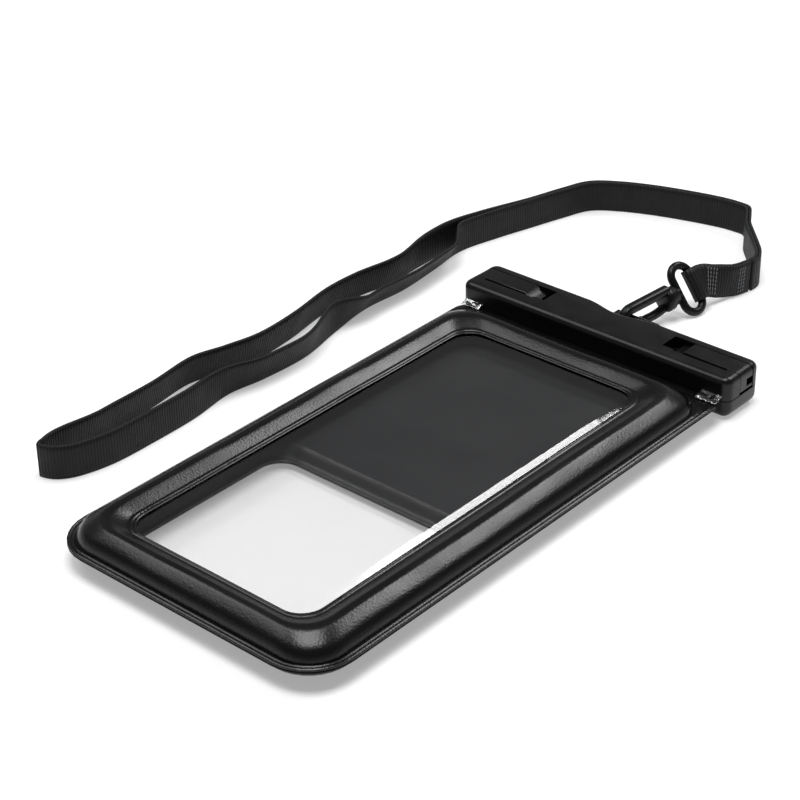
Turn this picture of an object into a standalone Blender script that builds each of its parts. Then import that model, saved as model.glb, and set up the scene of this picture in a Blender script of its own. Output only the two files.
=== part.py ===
"""Waterproof phone pouch lying on its back, with a snap clamp, a swivel hook and a folded wrist lanyard.

Metres, +Z up, +Y towards the clamp. The origin is on the ground, under the middle of the pouch
and its clamp. Inside this file y runs from the near flange edge, and every object hangs from one
empty that moves the whole pouch to its place.
"""
from math import cos, hypot, pi, radians, sin

import bmesh
import bpy
from mathutils import Matrix, Vector

# Film pouch
POUCH_WIDTH = 0.110
FILM_LENGTH = 0.1965
FLANGE_WIDTH = 0.0028
FLANGE_CORNER = 0.016
NECK_CORNER = 0.005
NECK_LENGTH = 0.0062
FILM = 0.0004
FILM_GAP = 0.0002
SHEET = 0.0003

# Padded rim and front window
RIM_HEIGHT = 0.0143
WINDOW_WIDTH = 0.0728
WINDOW_NEAR = 0.0161
FAR_BORDER = 0.0212
WINDOW_CORNER = 0.008
WINDOW_HEIGHT = 0.0110

# Back: a pad behind the phone, and a clear window for the camera
CAMERA_WIDTH = 0.080
CAMERA_NEAR = 0.015
CAMERA_FAR = 0.085
CAMERA_CORNER = 0.0085
CAMERA_LAND = 0.0010
PAD_TOP = 0.0055
PAD_EDGE = 0.0055
BACK_CURVE = 0.0062

# Clamp bars
CLAMP_LENGTH = 0.1132
CLAMP_DEPTH = 0.0192
CLAMP_TOP = 0.0150
CLAMP_CORNER = 0.0034
UPPER_EDGE = 0.0022
LOWER_EDGE = 0.0036
SPLIT_HEIGHT = 0.0068
SPLIT_GAP = 0.0003
SCOOP_WIDTH = 0.028
SCOOP_DEPTH = 0.0024
SEAL_WIDTH = 0.0024
SEAL_DEPTH = 0.0014
SEAL_LENGTH = 0.098
SEAL_SETBACK = 0.0027

# Latch levers
LATCH_WIDTH = 0.0073
LATCH_SETBACK = 0.0074
LATCH_INNER = 0.0290
TONGUE = 0.0026
PIT_LENGTH = 0.0038
PIT_DEPTH = 0.0042
PIVOT_INSET = 0.0023
PIVOT_HEIGHT = 0.0100
PIN_RADIUS = 0.0008
CLAW_REACH = 0.0047
CLAW_WIDTH = 0.0033
CLAW_OUTER = 0.0009
POCKET_ROOM = 0.0018
PIN_SEAT = 0.0028
TIP_LENGTH = 0.0044
TIP_THICKNESS = 0.0006
CLAW_FOOT = 0.0016
CLAW_NECK = 0.0020

# Lug and snap hook
LUG_REACH = 0.0094
LUG_HALF_HOLE = 0.0060
LUG_ARM = 0.0026
LUG_BAR = 0.0015
HOOK_PLACE = -0.0030
HOOK_HEIGHT = 0.0065
HOOK_YAW = radians(-9.0)
HOOK_PITCH = radians(4.0)
HOOK_LENGTH = 0.0170
LIMB_WIDTH = 0.0040
LIMB_THICKNESS = 0.0036
NOSE_LENGTH = 0.0062
BARREL_RADIUS = 0.0045
BARREL_LENGTH = 0.0062
BARREL_WALL = 0.0018
STEP_IN = 0.0010
STEM_RADIUS = 0.0014
HEAD_RADIUS = 0.0025
HEAD_THICKNESS = 0.0016
GATE_WIDTH = 0.0034
GATE_THICKNESS = 0.0028

# Swivel eye
EYE_LENGTH = 0.0210
EYE_DEPTH = 0.0115
EYE_WIRE = 0.0030
EYE_TILT = radians(-38.0)

# Lanyard
WEBBING_WIDTH = 0.0120
WEBBING = 0.0010
LAYER_GAP = 0.0003

CLEARANCE = 0.0003
OVERCUT = 0.002
CORNER_STEPS = 6
TAPE_STEP = 0.0062
END_STEP = 0.0022

UP = Vector((0, 0, 1))
ACROSS = Vector((1, 0, 0))
HALF_POUCH = POUCH_WIDTH / 2
HALF_CLAMP = CLAMP_LENGTH / 2
CLAMP_FRONT = FILM_LENGTH + CLEARANCE
CLAMP_REAR = CLAMP_FRONT + CLAMP_DEPTH
LUG_BAR_PLACE = CLAMP_REAR + LUG_REACH
OVERALL_LENGTH = LUG_BAR_PLACE + LUG_BAR
WINDOW_FAR = FILM_LENGTH - FAR_BORDER
LATCH_FRONT = CLAMP_FRONT + LATCH_SETBACK
LATCH_REAR = LATCH_FRONT + LATCH_WIDTH
PIVOT_PLACE = HALF_CLAMP - PIVOT_INSET
LOWER_TOP = SPLIT_HEIGHT - SPLIT_GAP / 2
UPPER_BOTTOM = SPLIT_HEIGHT + SPLIT_GAP / 2
FRONT_FILM_LOW = SPLIT_HEIGHT + FILM_GAP / 2
HINGE_HEIGHT = FRONT_FILM_LOW + FILM
BACK_FILM_LOW = SPLIT_HEIGHT - FILM_GAP / 2 - FILM

# The lanyard's route on the ground, from the fold at its far end to the corner near the hook
NEAR_STRAND = [
    (-0.0915, 0.0295), (-0.0865, 0.0318), (-0.0825, 0.038), (-0.0798, 0.050), (-0.0795, 0.066),
    (-0.0802, 0.086), (-0.0828, 0.104), (-0.0808, 0.120), (-0.0805, 0.140), (-0.0848, 0.160),
    (-0.0880, 0.180), (-0.0872, 0.200), (-0.0892, 0.220), (-0.0915, 0.238), (-0.0878, 0.256),
]
FAR_STRAND = [
    (-0.0926, 0.0309), (-0.0945, 0.040), (-0.0955, 0.060), (-0.0960, 0.080), (-0.0982, 0.100),
    (-0.0948, 0.114), (-0.0922, 0.128), (-0.0935, 0.146), (-0.0970, 0.166), (-0.0970, 0.183),
    (-0.0946, 0.200), (-0.0952, 0.220), (-0.0955, 0.236), (-0.0915, 0.252),
]
DOUBLED_STRANDS = [
    (-0.0843, 0.271), (-0.0798, 0.287), (-0.0756, 0.2985), (-0.0665, 0.3055), (-0.0535, 0.3115),
    (-0.0385, 0.3163), (-0.0270, 0.3190), (-0.0207, 0.3195),
]
LEAD = [
    (0.0104, 0.2809), (0.0102, 0.2856), (0.0079, 0.2900), (0.0043, 0.2942), (0.0003, 0.2985),
    (-0.0042, 0.3033), (-0.0086, 0.3083), (-0.0118, 0.3136), (-0.0157, 0.3189), (-0.0202, 0.3195),
]
TAPE_TAIL = [(0.0054, 0.2666, 0.0077), (0.0086, 0.2732, 0.0065), (0.0100, 0.2803, 0.0060)]
TAPE_START = 0.0038


def clear_scene():
    for thing in list(bpy.data.objects):
        bpy.data.objects.remove(thing, do_unlink=True)


def material(name, colour, roughness, metallic=0.0, alpha=1.0):
    made = bpy.data.materials.new(name)
    made.use_nodes = True
    shader = made.node_tree.nodes["Principled BSDF"]
    shader.inputs["Base Color"].default_value = (*colour, 1.0)
    shader.inputs["Roughness"].default_value = roughness
    shader.inputs["Metallic"].default_value = metallic
    shader.inputs["Alpha"].default_value = alpha
    return made


def add_object(name, mesh_data, look=None, place=(0, 0, 0), parent=None):
    mesh = bpy.data.meshes.new(name)
    bmesh.ops.recalc_face_normals(mesh_data, faces=mesh_data.faces)
    mesh_data.to_mesh(mesh)
    mesh_data.free()
    mesh.shade_smooth()
    mesh.set_sharp_from_angle(angle=radians(35))
    made = bpy.data.objects.new(name, mesh)
    bpy.context.collection.objects.link(made)
    made.location = place
    made.parent = parent
    if look:
        mesh.materials.append(look)
    return made


def combine(target, other, operation):
    """Cut the other object out of the target, or join it on, and keep it as a hidden guide."""
    step = target.modifiers.new(operation.lower(), "BOOLEAN")
    step.operation = operation
    step.object = other
    other.hide_render = True
    other.display_type = "WIRE"


# Outlines and lofted skins

def rounded_outline(half_width, near, far, near_radius, far_radius):
    """Anticlockwise outline of a rounded rectangle, with the same number of points each time."""
    corners = [
        (half_width - near_radius, near + near_radius, near_radius, -90),
        (half_width - far_radius, far - far_radius, far_radius, 0),
        (far_radius - half_width, far - far_radius, far_radius, 90),
        (near_radius - half_width, near + near_radius, near_radius, 180),
    ]
    points = []
    for x, y, radius, start in corners:
        for step in range(CORNER_STEPS + 1):
            angle = radians(start + 90 * step / CORNER_STEPS)
            points.append((x + radius * cos(angle), y + radius * sin(angle)))
    return points


def level(outline, height):
    return [Vector((x, y, height)) for x, y in outline]


def between(outer, inner, share):
    return [(a + (c - a) * share, b + (d - b) * share) for (a, b), (c, d) in zip(outer, inner)]


def loft(rings, wrap=False):
    """Join rings of points into one closed skin, capped at both ends or wrapped round."""
    body = bmesh.new()
    loops = [[body.verts.new(point) for point in ring] for ring in rings]
    pairs = list(zip(loops, loops[1:]))
    if wrap:
        pairs.append((loops[-1], loops[0]))
    for one, two in pairs:
        count = len(one)
        for k in range(count):
            body.faces.new((one[k], one[(k + 1) % count], two[(k + 1) % count], two[k]))
    if not wrap:
        body.faces.new(loops[0])
        body.faces.new(loops[-1])
    return body


def sweep(route, across, section, closed=False):
    """Carry a section along a route. Its first size lies along across, its second beside the route."""
    rings = []
    count = len(route)
    for k, point in enumerate(route):
        before = route[k - 1] if k or closed else point
        after = route[(k + 1) % count] if k + 1 < count or closed else point
        along = (after - before).normalized()
        wide = across[k] if isinstance(across, list) else across
        beside = wide.cross(along).normalized()
        rings.append([point + wide * a + beside * b for a, b in section])
    return loft(rings, wrap=closed)


def oval_section(half_across, half_beside, sides=8, squareness=0.75):
    points = []
    for k in range(sides):
        angle = 2 * pi * (k + 0.5) / sides
        a = abs(cos(angle)) ** squareness * (1 if cos(angle) > 0 else -1)
        b = abs(sin(angle)) ** squareness * (1 if sin(angle) > 0 else -1)
        points.append((half_across * a, half_beside * b))
    return points


def flat_section(half_across, half_beside):
    return [
        (half_across, half_beside),
        (-half_across, half_beside),
        (-half_across, -half_beside),
        (half_across, -half_beside),
    ]


def box(low, high):
    (x0, y0, z0), (x1, y1, z1) = low, high
    corners = [(x0, y0), (x1, y0), (x1, y1), (x0, y1)]
    return loft([level(corners, z0), level(corners, z1)])


def extruded(profile, start, end):
    """A profile of (x, z) points carried along y."""
    return loft([[Vector((x, y, z)) for x, z in profile] for y in (start, end)])


def rod(centre, axis, radius, length, sides=16):
    """A round bar from its centre along the axis."""
    body = bmesh.new()
    turn = Vector(axis).to_track_quat("Z", "Y").to_matrix().to_4x4()
    middle = Matrix.Translation(Vector(centre) + Vector(axis) * length / 2)
    bmesh.ops.create_cone(
        body, cap_ends=True, segments=sides, radius1=radius, radius2=radius,
        depth=length, matrix=middle @ turn,
    )
    return body


def smooth_route(points, spacing):
    """Points at an even spacing on a smooth curve through the given ones."""
    ends = [points[0] * 2 - points[1], *points, points[-1] * 2 - points[-2]]
    dense = []
    for a, b, c, d in zip(ends, ends[1:], ends[2:], ends[3:]):
        for step in range(12):
            t = step / 12
            dense.append(0.5 * (
                2 * b + (c - a) * t + (2 * a - 5 * b + 4 * c - d) * t ** 2
                + (3 * b - a - 3 * c + d) * t ** 3
            ))
    dense.append(points[-1])
    lengths = [0.0]
    for one, two in zip(dense, dense[1:]):
        lengths.append(lengths[-1] + (two - one).length)
    count = max(2, round(lengths[-1] / spacing))
    route = []
    k = 0
    for step in range(count + 1):
        want = lengths[-1] * step / count
        while k < len(dense) - 2 and lengths[k + 1] < want:
            k += 1
        share = (want - lengths[k]) / (lengths[k + 1] - lengths[k])
        route.append(dense[k].lerp(dense[k + 1], min(1.0, share)))
    return route


# Film pouch

FLANGE = rounded_outline(HALF_POUCH, 0, FILM_LENGTH, FLANGE_CORNER, NECK_CORNER)
PUFF = rounded_outline(
    HALF_POUCH - FLANGE_WIDTH, FLANGE_WIDTH, FILM_LENGTH - NECK_LENGTH,
    FLANGE_CORNER - FLANGE_WIDTH, FLANGE_CORNER - 2 * FLANGE_WIDTH,
)
WINDOW = rounded_outline(WINDOW_WIDTH / 2, WINDOW_NEAR, WINDOW_FAR, WINDOW_CORNER, WINDOW_CORNER)


def inset(amount):
    """The padded outline drawn in by an amount on every side."""
    radius = max(FLANGE_CORNER - FLANGE_WIDTH - amount, WINDOW_CORNER / 2)
    return rounded_outline(
        HALF_POUCH - FLANGE_WIDTH - amount, FLANGE_WIDTH + amount,
        FILM_LENGTH - NECK_LENGTH - amount, radius, radius,
    )


def camera_outline(margin):
    return rounded_outline(
        CAMERA_WIDTH / 2 + margin, CAMERA_NEAR - margin, CAMERA_FAR + margin,
        CAMERA_CORNER + margin / 2, CAMERA_CORNER + margin / 2,
    )


def rim_height(share):
    """Height of the padded rim's top, from its outer edge at 0 to the window's edge at 1."""
    outer = FRONT_FILM_LOW + FILM
    base = outer + (WINDOW_HEIGHT + FILM - outer) * share
    middle = (outer + WINDOW_HEIGHT + FILM) / 2
    return base + (RIM_HEIGHT - middle) * (4 * share * (1 - share)) ** 0.55


def front_panel(look, parent):
    shares = [0, 0.07, 0.17, 0.32, 0.5, 0.68, 0.82, 0.92, 0.975, 1]
    rings = [level(FLANGE, FRONT_FILM_LOW), level(FLANGE, FRONT_FILM_LOW + FILM)]
    rings += [level(between(PUFF, WINDOW, s), rim_height(s)) for s in shares]
    for s in reversed(shares):
        under = between(PUFF, WINDOW, s + 0.03 * (1 - s))
        rings.append(level(under, rim_height(s) - FILM))
    return add_object("front_panel", loft(rings, wrap=True), look, parent=parent)


def liner_height(share):
    """Height of the clear sheet's underside below the padded rim."""
    return FRONT_FILM_LOW + (WINDOW_HEIGHT - FILM_GAP - SHEET - FRONT_FILM_LOW) * share


def front_window(look, parent):
    shares = [1.0, 0.92, 0.6, 0.3, 0.06]
    lines = [between(PUFF, WINDOW, s) for s in shares]
    rings = [level(line, liner_height(s) + SHEET) for s, line in zip(shares, lines)]
    rings += [level(line, liner_height(s)) for s, line in zip(reversed(shares), reversed(lines))]
    return add_object("front_window", loft(rings), look, parent=parent)


def front_foam(look, parent):
    top = [0.16, 0.32, 0.5, 0.68, 0.84]
    rings = [
        level(between(PUFF, WINDOW, s), rim_height(s) - FILM - CLEARANCE - 2 * FILM * abs(s - 0.5))
        for s in top
    ]
    under = [0.86, 0.5, 0.2]
    rings += [
        level(between(PUFF, WINDOW, s), liner_height(s) + SHEET + CLEARANCE) for s in under
    ]
    return add_object("front_rim_foam", loft(rings, wrap=True), look, parent=parent)


def back_panel(look, parent):
    top_edge = BACK_FILM_LOW + FILM
    curve = [(0.0, 0.0), (0.10, 0.50), (0.32, 0.80), (0.62, 0.96), (1.0, 1.0)]
    outside = [(inset(BACK_CURVE * s), BACK_FILM_LOW * (1 - drop)) for s, drop in curve]
    outside += [
        (camera_outline(2 * CAMERA_LAND), 0.0),
        (camera_outline(CAMERA_LAND), CAMERA_LAND),
        (camera_outline(0), CAMERA_LAND),
    ]
    inside = [(inset(BACK_CURVE * s + FILM / 2), z + FILM) for s, z in
              ((s, BACK_FILM_LOW * (1 - drop)) for s, drop in curve)]
    inside += [
        (camera_outline(2 * CAMERA_LAND + FILM / 4), FILM),
        (camera_outline(CAMERA_LAND + FILM / 4), CAMERA_LAND + FILM),
        (camera_outline(0), CAMERA_LAND + FILM),
    ]
    rings = [level(FLANGE, top_edge), level(FLANGE, BACK_FILM_LOW)]
    rings += [level(line, z) for line, z in outside]
    rings += [level(line, z) for line, z in reversed(inside)]
    return add_object("back_panel", loft(rings, wrap=True), look, parent=parent)


def camera_window(look, parent):
    """The clear sheet inside the back: it covers the pad and drops to the camera opening."""
    low = CAMERA_LAND + FILM + FILM_GAP
    steps = [
        (inset(4 * SHEET), BACK_FILM_LOW),
        (inset(BACK_CURVE), PAD_TOP),
        (camera_outline(PAD_EDGE), PAD_TOP),
        (camera_outline(PAD_EDGE * 0.55), PAD_TOP - 0.30 * (PAD_TOP - low)),
        (camera_outline(PAD_EDGE * 0.18), low + 0.12 * (PAD_TOP - low)),
        (camera_outline(-CAMERA_LAND), low),
    ]
    rings = [level(line, z + SHEET) for line, z in reversed(steps)]
    rings += [level(line, z) for line, z in steps]
    return add_object("camera_window", loft(rings), look, parent=parent)


def back_pad(look, parent):
    low = FILM + CLEARANCE
    high = PAD_TOP - CLEARANCE
    rings = [
        level(inset(BACK_CURVE), low),
        level(inset(BACK_CURVE * 0.45), low + (high - low) * 0.31),
        level(inset(BACK_CURVE * 0.55), high - FILM),
        level(inset(BACK_CURVE), high),
        level(camera_outline(PAD_EDGE + CLEARANCE), high),
        level(camera_outline(PAD_EDGE * 0.62), low + (high - low) * 0.44),
        level(camera_outline(2 * CAMERA_LAND + CLEARANCE + FILM), low),
    ]
    return add_object("back_pad", loft(rings, wrap=True), look, parent=parent)


# Clamp

def bar_outline(margin, scoop):
    """Outline of a clamp bar drawn in by a margin, with a shallow scoop in its rear edge."""
    rear = CLAMP_REAR - margin
    outline = rounded_outline(
        HALF_CLAMP - margin, CLAMP_FRONT + margin, rear,
        CLAMP_CORNER - margin * 0.6, CLAMP_CORNER - margin * 0.6,
    )
    half_turn = 2 * (CORNER_STEPS + 1)
    dip = []
    count = 10
    for k in range(count + 1):
        x = SCOOP_WIDTH / 2 * (1 - 2 * k / count)
        dip.append((x, rear - scoop * (1 + cos(2 * pi * x / SCOOP_WIDTH)) / 2))
    return outline[:half_turn] + dip + outline[half_turn:]


def latch_slot(side, parent):
    """Room for one latch: its slot, the finger pit beside it and the way down past the pivot."""
    floor = CLAMP_TOP - TONGUE - CLEARANCE
    inner = PIVOT_PLACE - CLAW_REACH - 2 * CLEARANCE
    profile = [
        (LATCH_INNER - PIT_LENGTH, CLAMP_TOP + OVERCUT),
        (LATCH_INNER - PIT_LENGTH, CLAMP_TOP - PIT_DEPTH),
        (LATCH_INNER, CLAMP_TOP - PIT_DEPTH),
        (LATCH_INNER + PIT_DEPTH - TONGUE, floor),
        (inner, floor),
        (inner, UPPER_BOTTOM - OVERCUT),
        (HALF_CLAMP + OVERCUT, UPPER_BOTTOM - OVERCUT),
        (HALF_CLAMP + OVERCUT, CLAMP_TOP + OVERCUT),
    ]
    section = [(side * x, z) for x, z in profile]
    shape = extruded(section, LATCH_FRONT - CLEARANCE, LATCH_REAR + CLEARANCE)
    return add_object("latch_slot_cutter", shape, parent=parent)


def pin_hole(side, parent, length):
    centre = (side * PIVOT_PLACE, (LATCH_FRONT + LATCH_REAR - length) / 2, PIVOT_HEIGHT)
    shape = rod(centre, (0, 1, 0), PIN_RADIUS + CLEARANCE, length, sides=12)
    return add_object("pin_hole_cutter", shape, parent=parent)


def upper_bar(look, parent, pivot):
    turns = [0, 30, 60, 90]
    rings = [level(bar_outline(0, SCOOP_DEPTH), UPPER_BOTTOM)]
    for angle in turns:
        margin = UPPER_EDGE * (1 - cos(radians(angle)))
        height = CLAMP_TOP - UPPER_EDGE * (1 - sin(radians(angle)))
        rings.append(level(bar_outline(margin, SCOOP_DEPTH), height))
    body = loft(rings)
    bmesh.ops.translate(body, vec=-pivot, verts=body.verts)
    bar = add_object("upper_clamp_bar", body, look, place=pivot, parent=parent)
    for side in (1, -1):
        combine(bar, latch_slot(side, parent), "DIFFERENCE")
        combine(bar, pin_hole(side, parent, LATCH_WIDTH + 2 * PIN_SEAT + 2 * CLEARANCE), "DIFFERENCE")
    return bar


def claw_pocket(side, parent):
    inner = side * (PIVOT_PLACE - CLAW_REACH - 2 * CLEARANCE)
    outer = side * (PIVOT_PLACE + CLAW_OUTER + CLEARANCE)
    low = (min(inner, outer), LATCH_FRONT - CLEARANCE, PIVOT_HEIGHT - CLAW_REACH - POCKET_ROOM)
    high = (max(inner, outer), LATCH_REAR + 3 * CLEARANCE, LOWER_TOP + OVERCUT)
    return add_object("claw_pocket_cutter", box(low, high), parent=parent)


def seal_box(margin, depth_margin, top):
    front = CLAMP_FRONT + SEAL_SETBACK
    half = SEAL_LENGTH / 2 + margin
    low = (-half, front - margin, LOWER_TOP - SEAL_DEPTH - depth_margin)
    high = (half, front + SEAL_WIDTH + margin, top)
    return box(low, high)


def lower_bar(look, parent):
    rings = [level(bar_outline(0, 0), LOWER_TOP)]
    for angle in (0, 30, 60, 90):
        margin = LOWER_EDGE * (1 - cos(radians(angle)))
        height = LOWER_EDGE * (1 - sin(radians(angle)))
        rings.append(level(bar_outline(margin, 0), height))
    bar = add_object("lower_clamp_bar", loft(rings), look, parent=parent)
    for side in (1, -1):
        combine(bar, claw_pocket(side, parent), "DIFFERENCE")
    groove = seal_box(CLEARANCE, CLEARANCE, LOWER_TOP + OVERCUT)
    combine(bar, add_object("seal_groove_cutter", groove, parent=parent), "DIFFERENCE")
    for side in (1, -1):
        inner, outer = sorted((side * LUG_HALF_HOLE, side * (LUG_HALF_HOLE + LUG_ARM)))
        profile = [
            (CLAMP_REAR - OVERCUT, HOOK_HEIGHT - LUG_BAR),
            (LUG_BAR_PLACE, HOOK_HEIGHT - LUG_BAR),
            (LUG_BAR_PLACE, HOOK_HEIGHT + LUG_BAR),
            (CLAMP_REAR + 2 * CLEARANCE, HOOK_HEIGHT + LUG_BAR),
            (CLAMP_REAR + CLEARANCE, LOWER_TOP - SPLIT_GAP),
            (CLAMP_REAR - OVERCUT, LOWER_TOP - SPLIT_GAP),
        ]
        arm = loft([[Vector((x, y, z)) for y, z in profile] for x in (inner, outer)])
        combine(bar, add_object("lug_arm_guide", arm, parent=parent), "UNION")
    half = LUG_HALF_HOLE + LUG_ARM
    cross = rod((-half, LUG_BAR_PLACE, HOOK_HEIGHT), (1, 0, 0), LUG_BAR, 2 * half, sides=12)
    combine(bar, add_object("lug_bar_guide", cross, parent=parent), "UNION")
    return bar


def seal_strip(look, parent):
    return add_object("seal_strip", seal_box(0, 0, LOWER_TOP + SPLIT_GAP / 3), look, parent=parent)


def latch_claw(side, centre, parent):
    """The claw in the middle of a lever's width, which reaches into the lower bar's pocket."""
    foot = PIVOT_HEIGHT - CLAW_REACH + CLEARANCE
    profile = [
        (PIVOT_PLACE + CLAW_OUTER - CLEARANCE / 2, PIVOT_HEIGHT),
        (PIVOT_PLACE + CLAW_OUTER - CLEARANCE / 2, UPPER_BOTTOM),
        (PIVOT_PLACE + CLEARANCE, foot),
        (PIVOT_PLACE + CLEARANCE - CLAW_FOOT, foot),
        (PIVOT_PLACE - CLAW_NECK + CLEARANCE / 2, PIVOT_HEIGHT),
    ]
    section = [(side * x - centre.x, z - centre.z) for x, z in profile]
    body = extruded(section, -CLAW_WIDTH / 2, CLAW_WIDTH / 2)
    return add_object("latch_claw_guide", body, place=centre, parent=parent)


def latch(side, look, parent):
    """A lever: its tongue lies in the top slot, and its claw reaches down past the pivot pin."""
    top = CLAMP_TOP
    floor = CLAMP_TOP - TONGUE
    end = HALF_CLAMP - CLEARANCE / 3
    round_edge = UPPER_EDGE
    arc = []
    for step in range(5):
        angle = radians(90 - 90 * step / 4)
        x = end - round_edge + round_edge * cos(angle)
        arc.append((x, top - round_edge + round_edge * sin(angle)))
    scoop = [
        (LATCH_INNER, floor + TIP_THICKNESS),
        (LATCH_INNER + TIP_LENGTH * 0.36, floor + TIP_THICKNESS * 1.5),
        (LATCH_INNER + TIP_LENGTH * 0.73, floor + TIP_THICKNESS * 2.5),
        (LATCH_INNER + TIP_LENGTH, top),
    ]
    neck = PIVOT_PLACE - CLAW_NECK
    below = [
        (end, UPPER_BOTTOM + 2 * CLEARANCE),
        (PIVOT_PLACE + CLAW_OUTER, UPPER_BOTTOM + CLEARANCE),
        (neck, UPPER_BOTTOM + CLEARANCE),
        (neck - CLEARANCE, PIVOT_HEIGHT + PIN_RADIUS),
        (neck - CLAW_NECK, floor),
        (LATCH_INNER, floor),
    ]
    centre = Vector((side * PIVOT_PLACE, (LATCH_FRONT + LATCH_REAR) / 2, PIVOT_HEIGHT))
    profile = [(side * x - centre.x, z - centre.z) for x, z in scoop + arc + below]
    body = extruded(profile, -LATCH_WIDTH / 2, LATCH_WIDTH / 2)
    name = "latch_right" if side > 0 else "latch_left"
    lever = add_object(name, body, look, place=centre, parent=parent)
    combine(lever, latch_claw(side, centre, parent), "UNION")
    combine(lever, pin_hole(side, parent, LATCH_WIDTH + OVERCUT), "DIFFERENCE")
    inner, outer = sorted((side * (PIVOT_PLACE + PIN_RADIUS * 0.6), side * (HALF_CLAMP + OVERCUT)))
    low = (inner, centre.y + CLEARANCE, PIVOT_HEIGHT - PIN_RADIUS - CLEARANCE)
    high = (outer, LATCH_REAR + OVERCUT, PIVOT_HEIGHT + PIN_RADIUS + CLEARANCE)
    combine(lever, add_object("notch_cutter", box(low, high), parent=parent), "DIFFERENCE")
    return lever


def latch_pin(side, look, parent):
    length = LATCH_WIDTH + 2 * PIN_SEAT
    centre = (side * PIVOT_PLACE, (LATCH_FRONT + LATCH_REAR - length) / 2, PIVOT_HEIGHT)
    name = "latch_pin_right" if side > 0 else "latch_pin_left"
    return add_object(name, rod(centre, (0, 1, 0), PIN_RADIUS, length, sides=10), look, parent=parent)


# Snap hook, drawn along +Y from the lug bar

LIMB_HEIGHT = LUG_BAR + 1.5 * CLEARANCE + LIMB_THICKNESS / 2
BARREL_FRONT = HOOK_LENGTH - 0.8 * STEP_IN
GATE_PIVOT = Vector((0, HOOK_LENGTH - 0.2 * STEP_IN, 0.7 * STEP_IN - LIMB_HEIGHT))
EYE_CENTRE = BARREL_FRONT + BARREL_LENGTH + CLEARANCE + EYE_DEPTH / 2
HEAD_START = BARREL_FRONT + BARREL_LENGTH - BARREL_WALL - CLEARANCE - HEAD_THICKNESS


def snap_hook(look, parent):
    section = oval_section(LIMB_WIDTH / 2, LIMB_THICKNESS / 2)
    route = [Vector((0, BARREL_FRONT + OVERCUT, LIMB_HEIGHT))]
    route += [Vector((0, HOOK_LENGTH * share, LIMB_HEIGHT)) for share in (0.8, 0.4)]
    turns = 10
    for step in range(turns + 1):
        angle = pi * step / turns
        route.append(Vector((0, -LIMB_HEIGHT * sin(angle), LIMB_HEIGHT * cos(angle))))
    route += [Vector((0, NOSE_LENGTH * share, -LIMB_HEIGHT)) for share in (0.5, 1.0)]
    hook = add_object("snap_hook", sweep(route, ACROSS, section), look, parent=parent)
    barrel = rod((0, BARREL_FRONT, 0), (0, 1, 0), BARREL_RADIUS, BARREL_LENGTH, sides=20)
    combine(hook, add_object("barrel_guide", barrel, parent=parent), "UNION")
    depth = BARREL_LENGTH + OVERCUT - BARREL_WALL
    start = (0, BARREL_FRONT - OVERCUT, 0)
    cavity = rod(start, (0, 1, 0), HEAD_RADIUS + CLEARANCE, depth, sides=16)
    combine(hook, add_object("cavity_cutter", cavity, parent=parent), "DIFFERENCE")
    front = (0, BARREL_FRONT, 0)
    bore = rod(front, (0, 1, 0), STEM_RADIUS + CLEARANCE, BARREL_LENGTH + OVERCUT, sides=16)
    combine(hook, add_object("stem_bore_cutter", bore, parent=parent), "DIFFERENCE")
    half = BARREL_RADIUS + OVERCUT
    radius = GATE_THICKNESS / 2 + 1.5 * CLEARANCE
    socket = rod(GATE_PIVOT - ACROSS * half, (1, 0, 0), radius, 2 * half, sides=16)
    combine(hook, add_object("gate_socket_cutter", socket, parent=parent), "DIFFERENCE")
    return hook


def hook_gate(look, parent):
    """A sprung tongue that closes the hook between its nose and the barrel."""
    tip = NOSE_LENGTH + 2 * CLEARANCE - GATE_PIVOT.y
    drop = -LIMB_HEIGHT - GATE_PIVOT.z
    route = [Vector((0, tip * share, drop * rise)) for share, rise in
             ((1.0, 1.0), (0.8, 1.05), (0.5, 1.1), (0.2, 0.55), (0.06, 0.1), (-0.05, -0.15))]
    section = oval_section(GATE_WIDTH / 2, GATE_THICKNESS / 2)
    tongue = sweep(route, ACROSS, section)
    return add_object("hook_gate", tongue, look, place=GATE_PIVOT, parent=parent)


def swivel_eye(look, parent):
    """An oval ring on a stem. The stem's head turns inside the barrel."""
    long_way = Vector((sin(EYE_TILT), 0, cos(EYE_TILT)))
    wire = EYE_WIRE / 2
    half_length = EYE_LENGTH / 2 - wire
    half_depth = EYE_DEPTH / 2 - wire
    straight = half_length - half_depth
    route = []
    for end in (1, -1):
        for step in range(9):
            angle = pi * step / 8
            along = end * cos(angle) * half_depth
            route.append(Vector((0, along, 0)) + long_way * end * (straight + half_depth * sin(angle)))
    section = oval_section(wire, wire, squareness=1.0)
    across = long_way.cross(Vector((0, 1, 0)))
    centre = Vector((0, EYE_CENTRE, 0))
    ring = sweep(route, across, section, closed=True)
    eye = add_object("swivel_eye", ring, look, place=centre, parent=parent)
    stem_end = EYE_CENTRE - half_depth
    stem = rod((0, HEAD_START, 0), (0, 1, 0), STEM_RADIUS, stem_end - HEAD_START, sides=12)
    combine(eye, add_object("stem_guide", stem, parent=parent), "UNION")
    head = rod((0, HEAD_START, 0), (0, 1, 0), HEAD_RADIUS, HEAD_THICKNESS, sides=14)
    combine(eye, add_object("stem_head_guide", head, parent=parent), "UNION")
    return eye


# Lanyard

def on_edge(points):
    """Points of a strand that stands on its edge on the ground."""
    return [Vector((x, y, WEBBING_WIDTH / 2)) for x, y in points]


def beside(points, distance):
    """The same route moved sideways, for a strand that lies against another."""
    moved = []
    for k, (x, y) in enumerate(points):
        x0, y0 = points[max(k - 1, 0)]
        x1, y1 = points[min(k + 1, len(points) - 1)]
        length = hypot(x1 - x0, y1 - y0)
        moved.append((x - (y1 - y0) / length * distance, y + (x1 - x0) / length * distance))
    return moved


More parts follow.
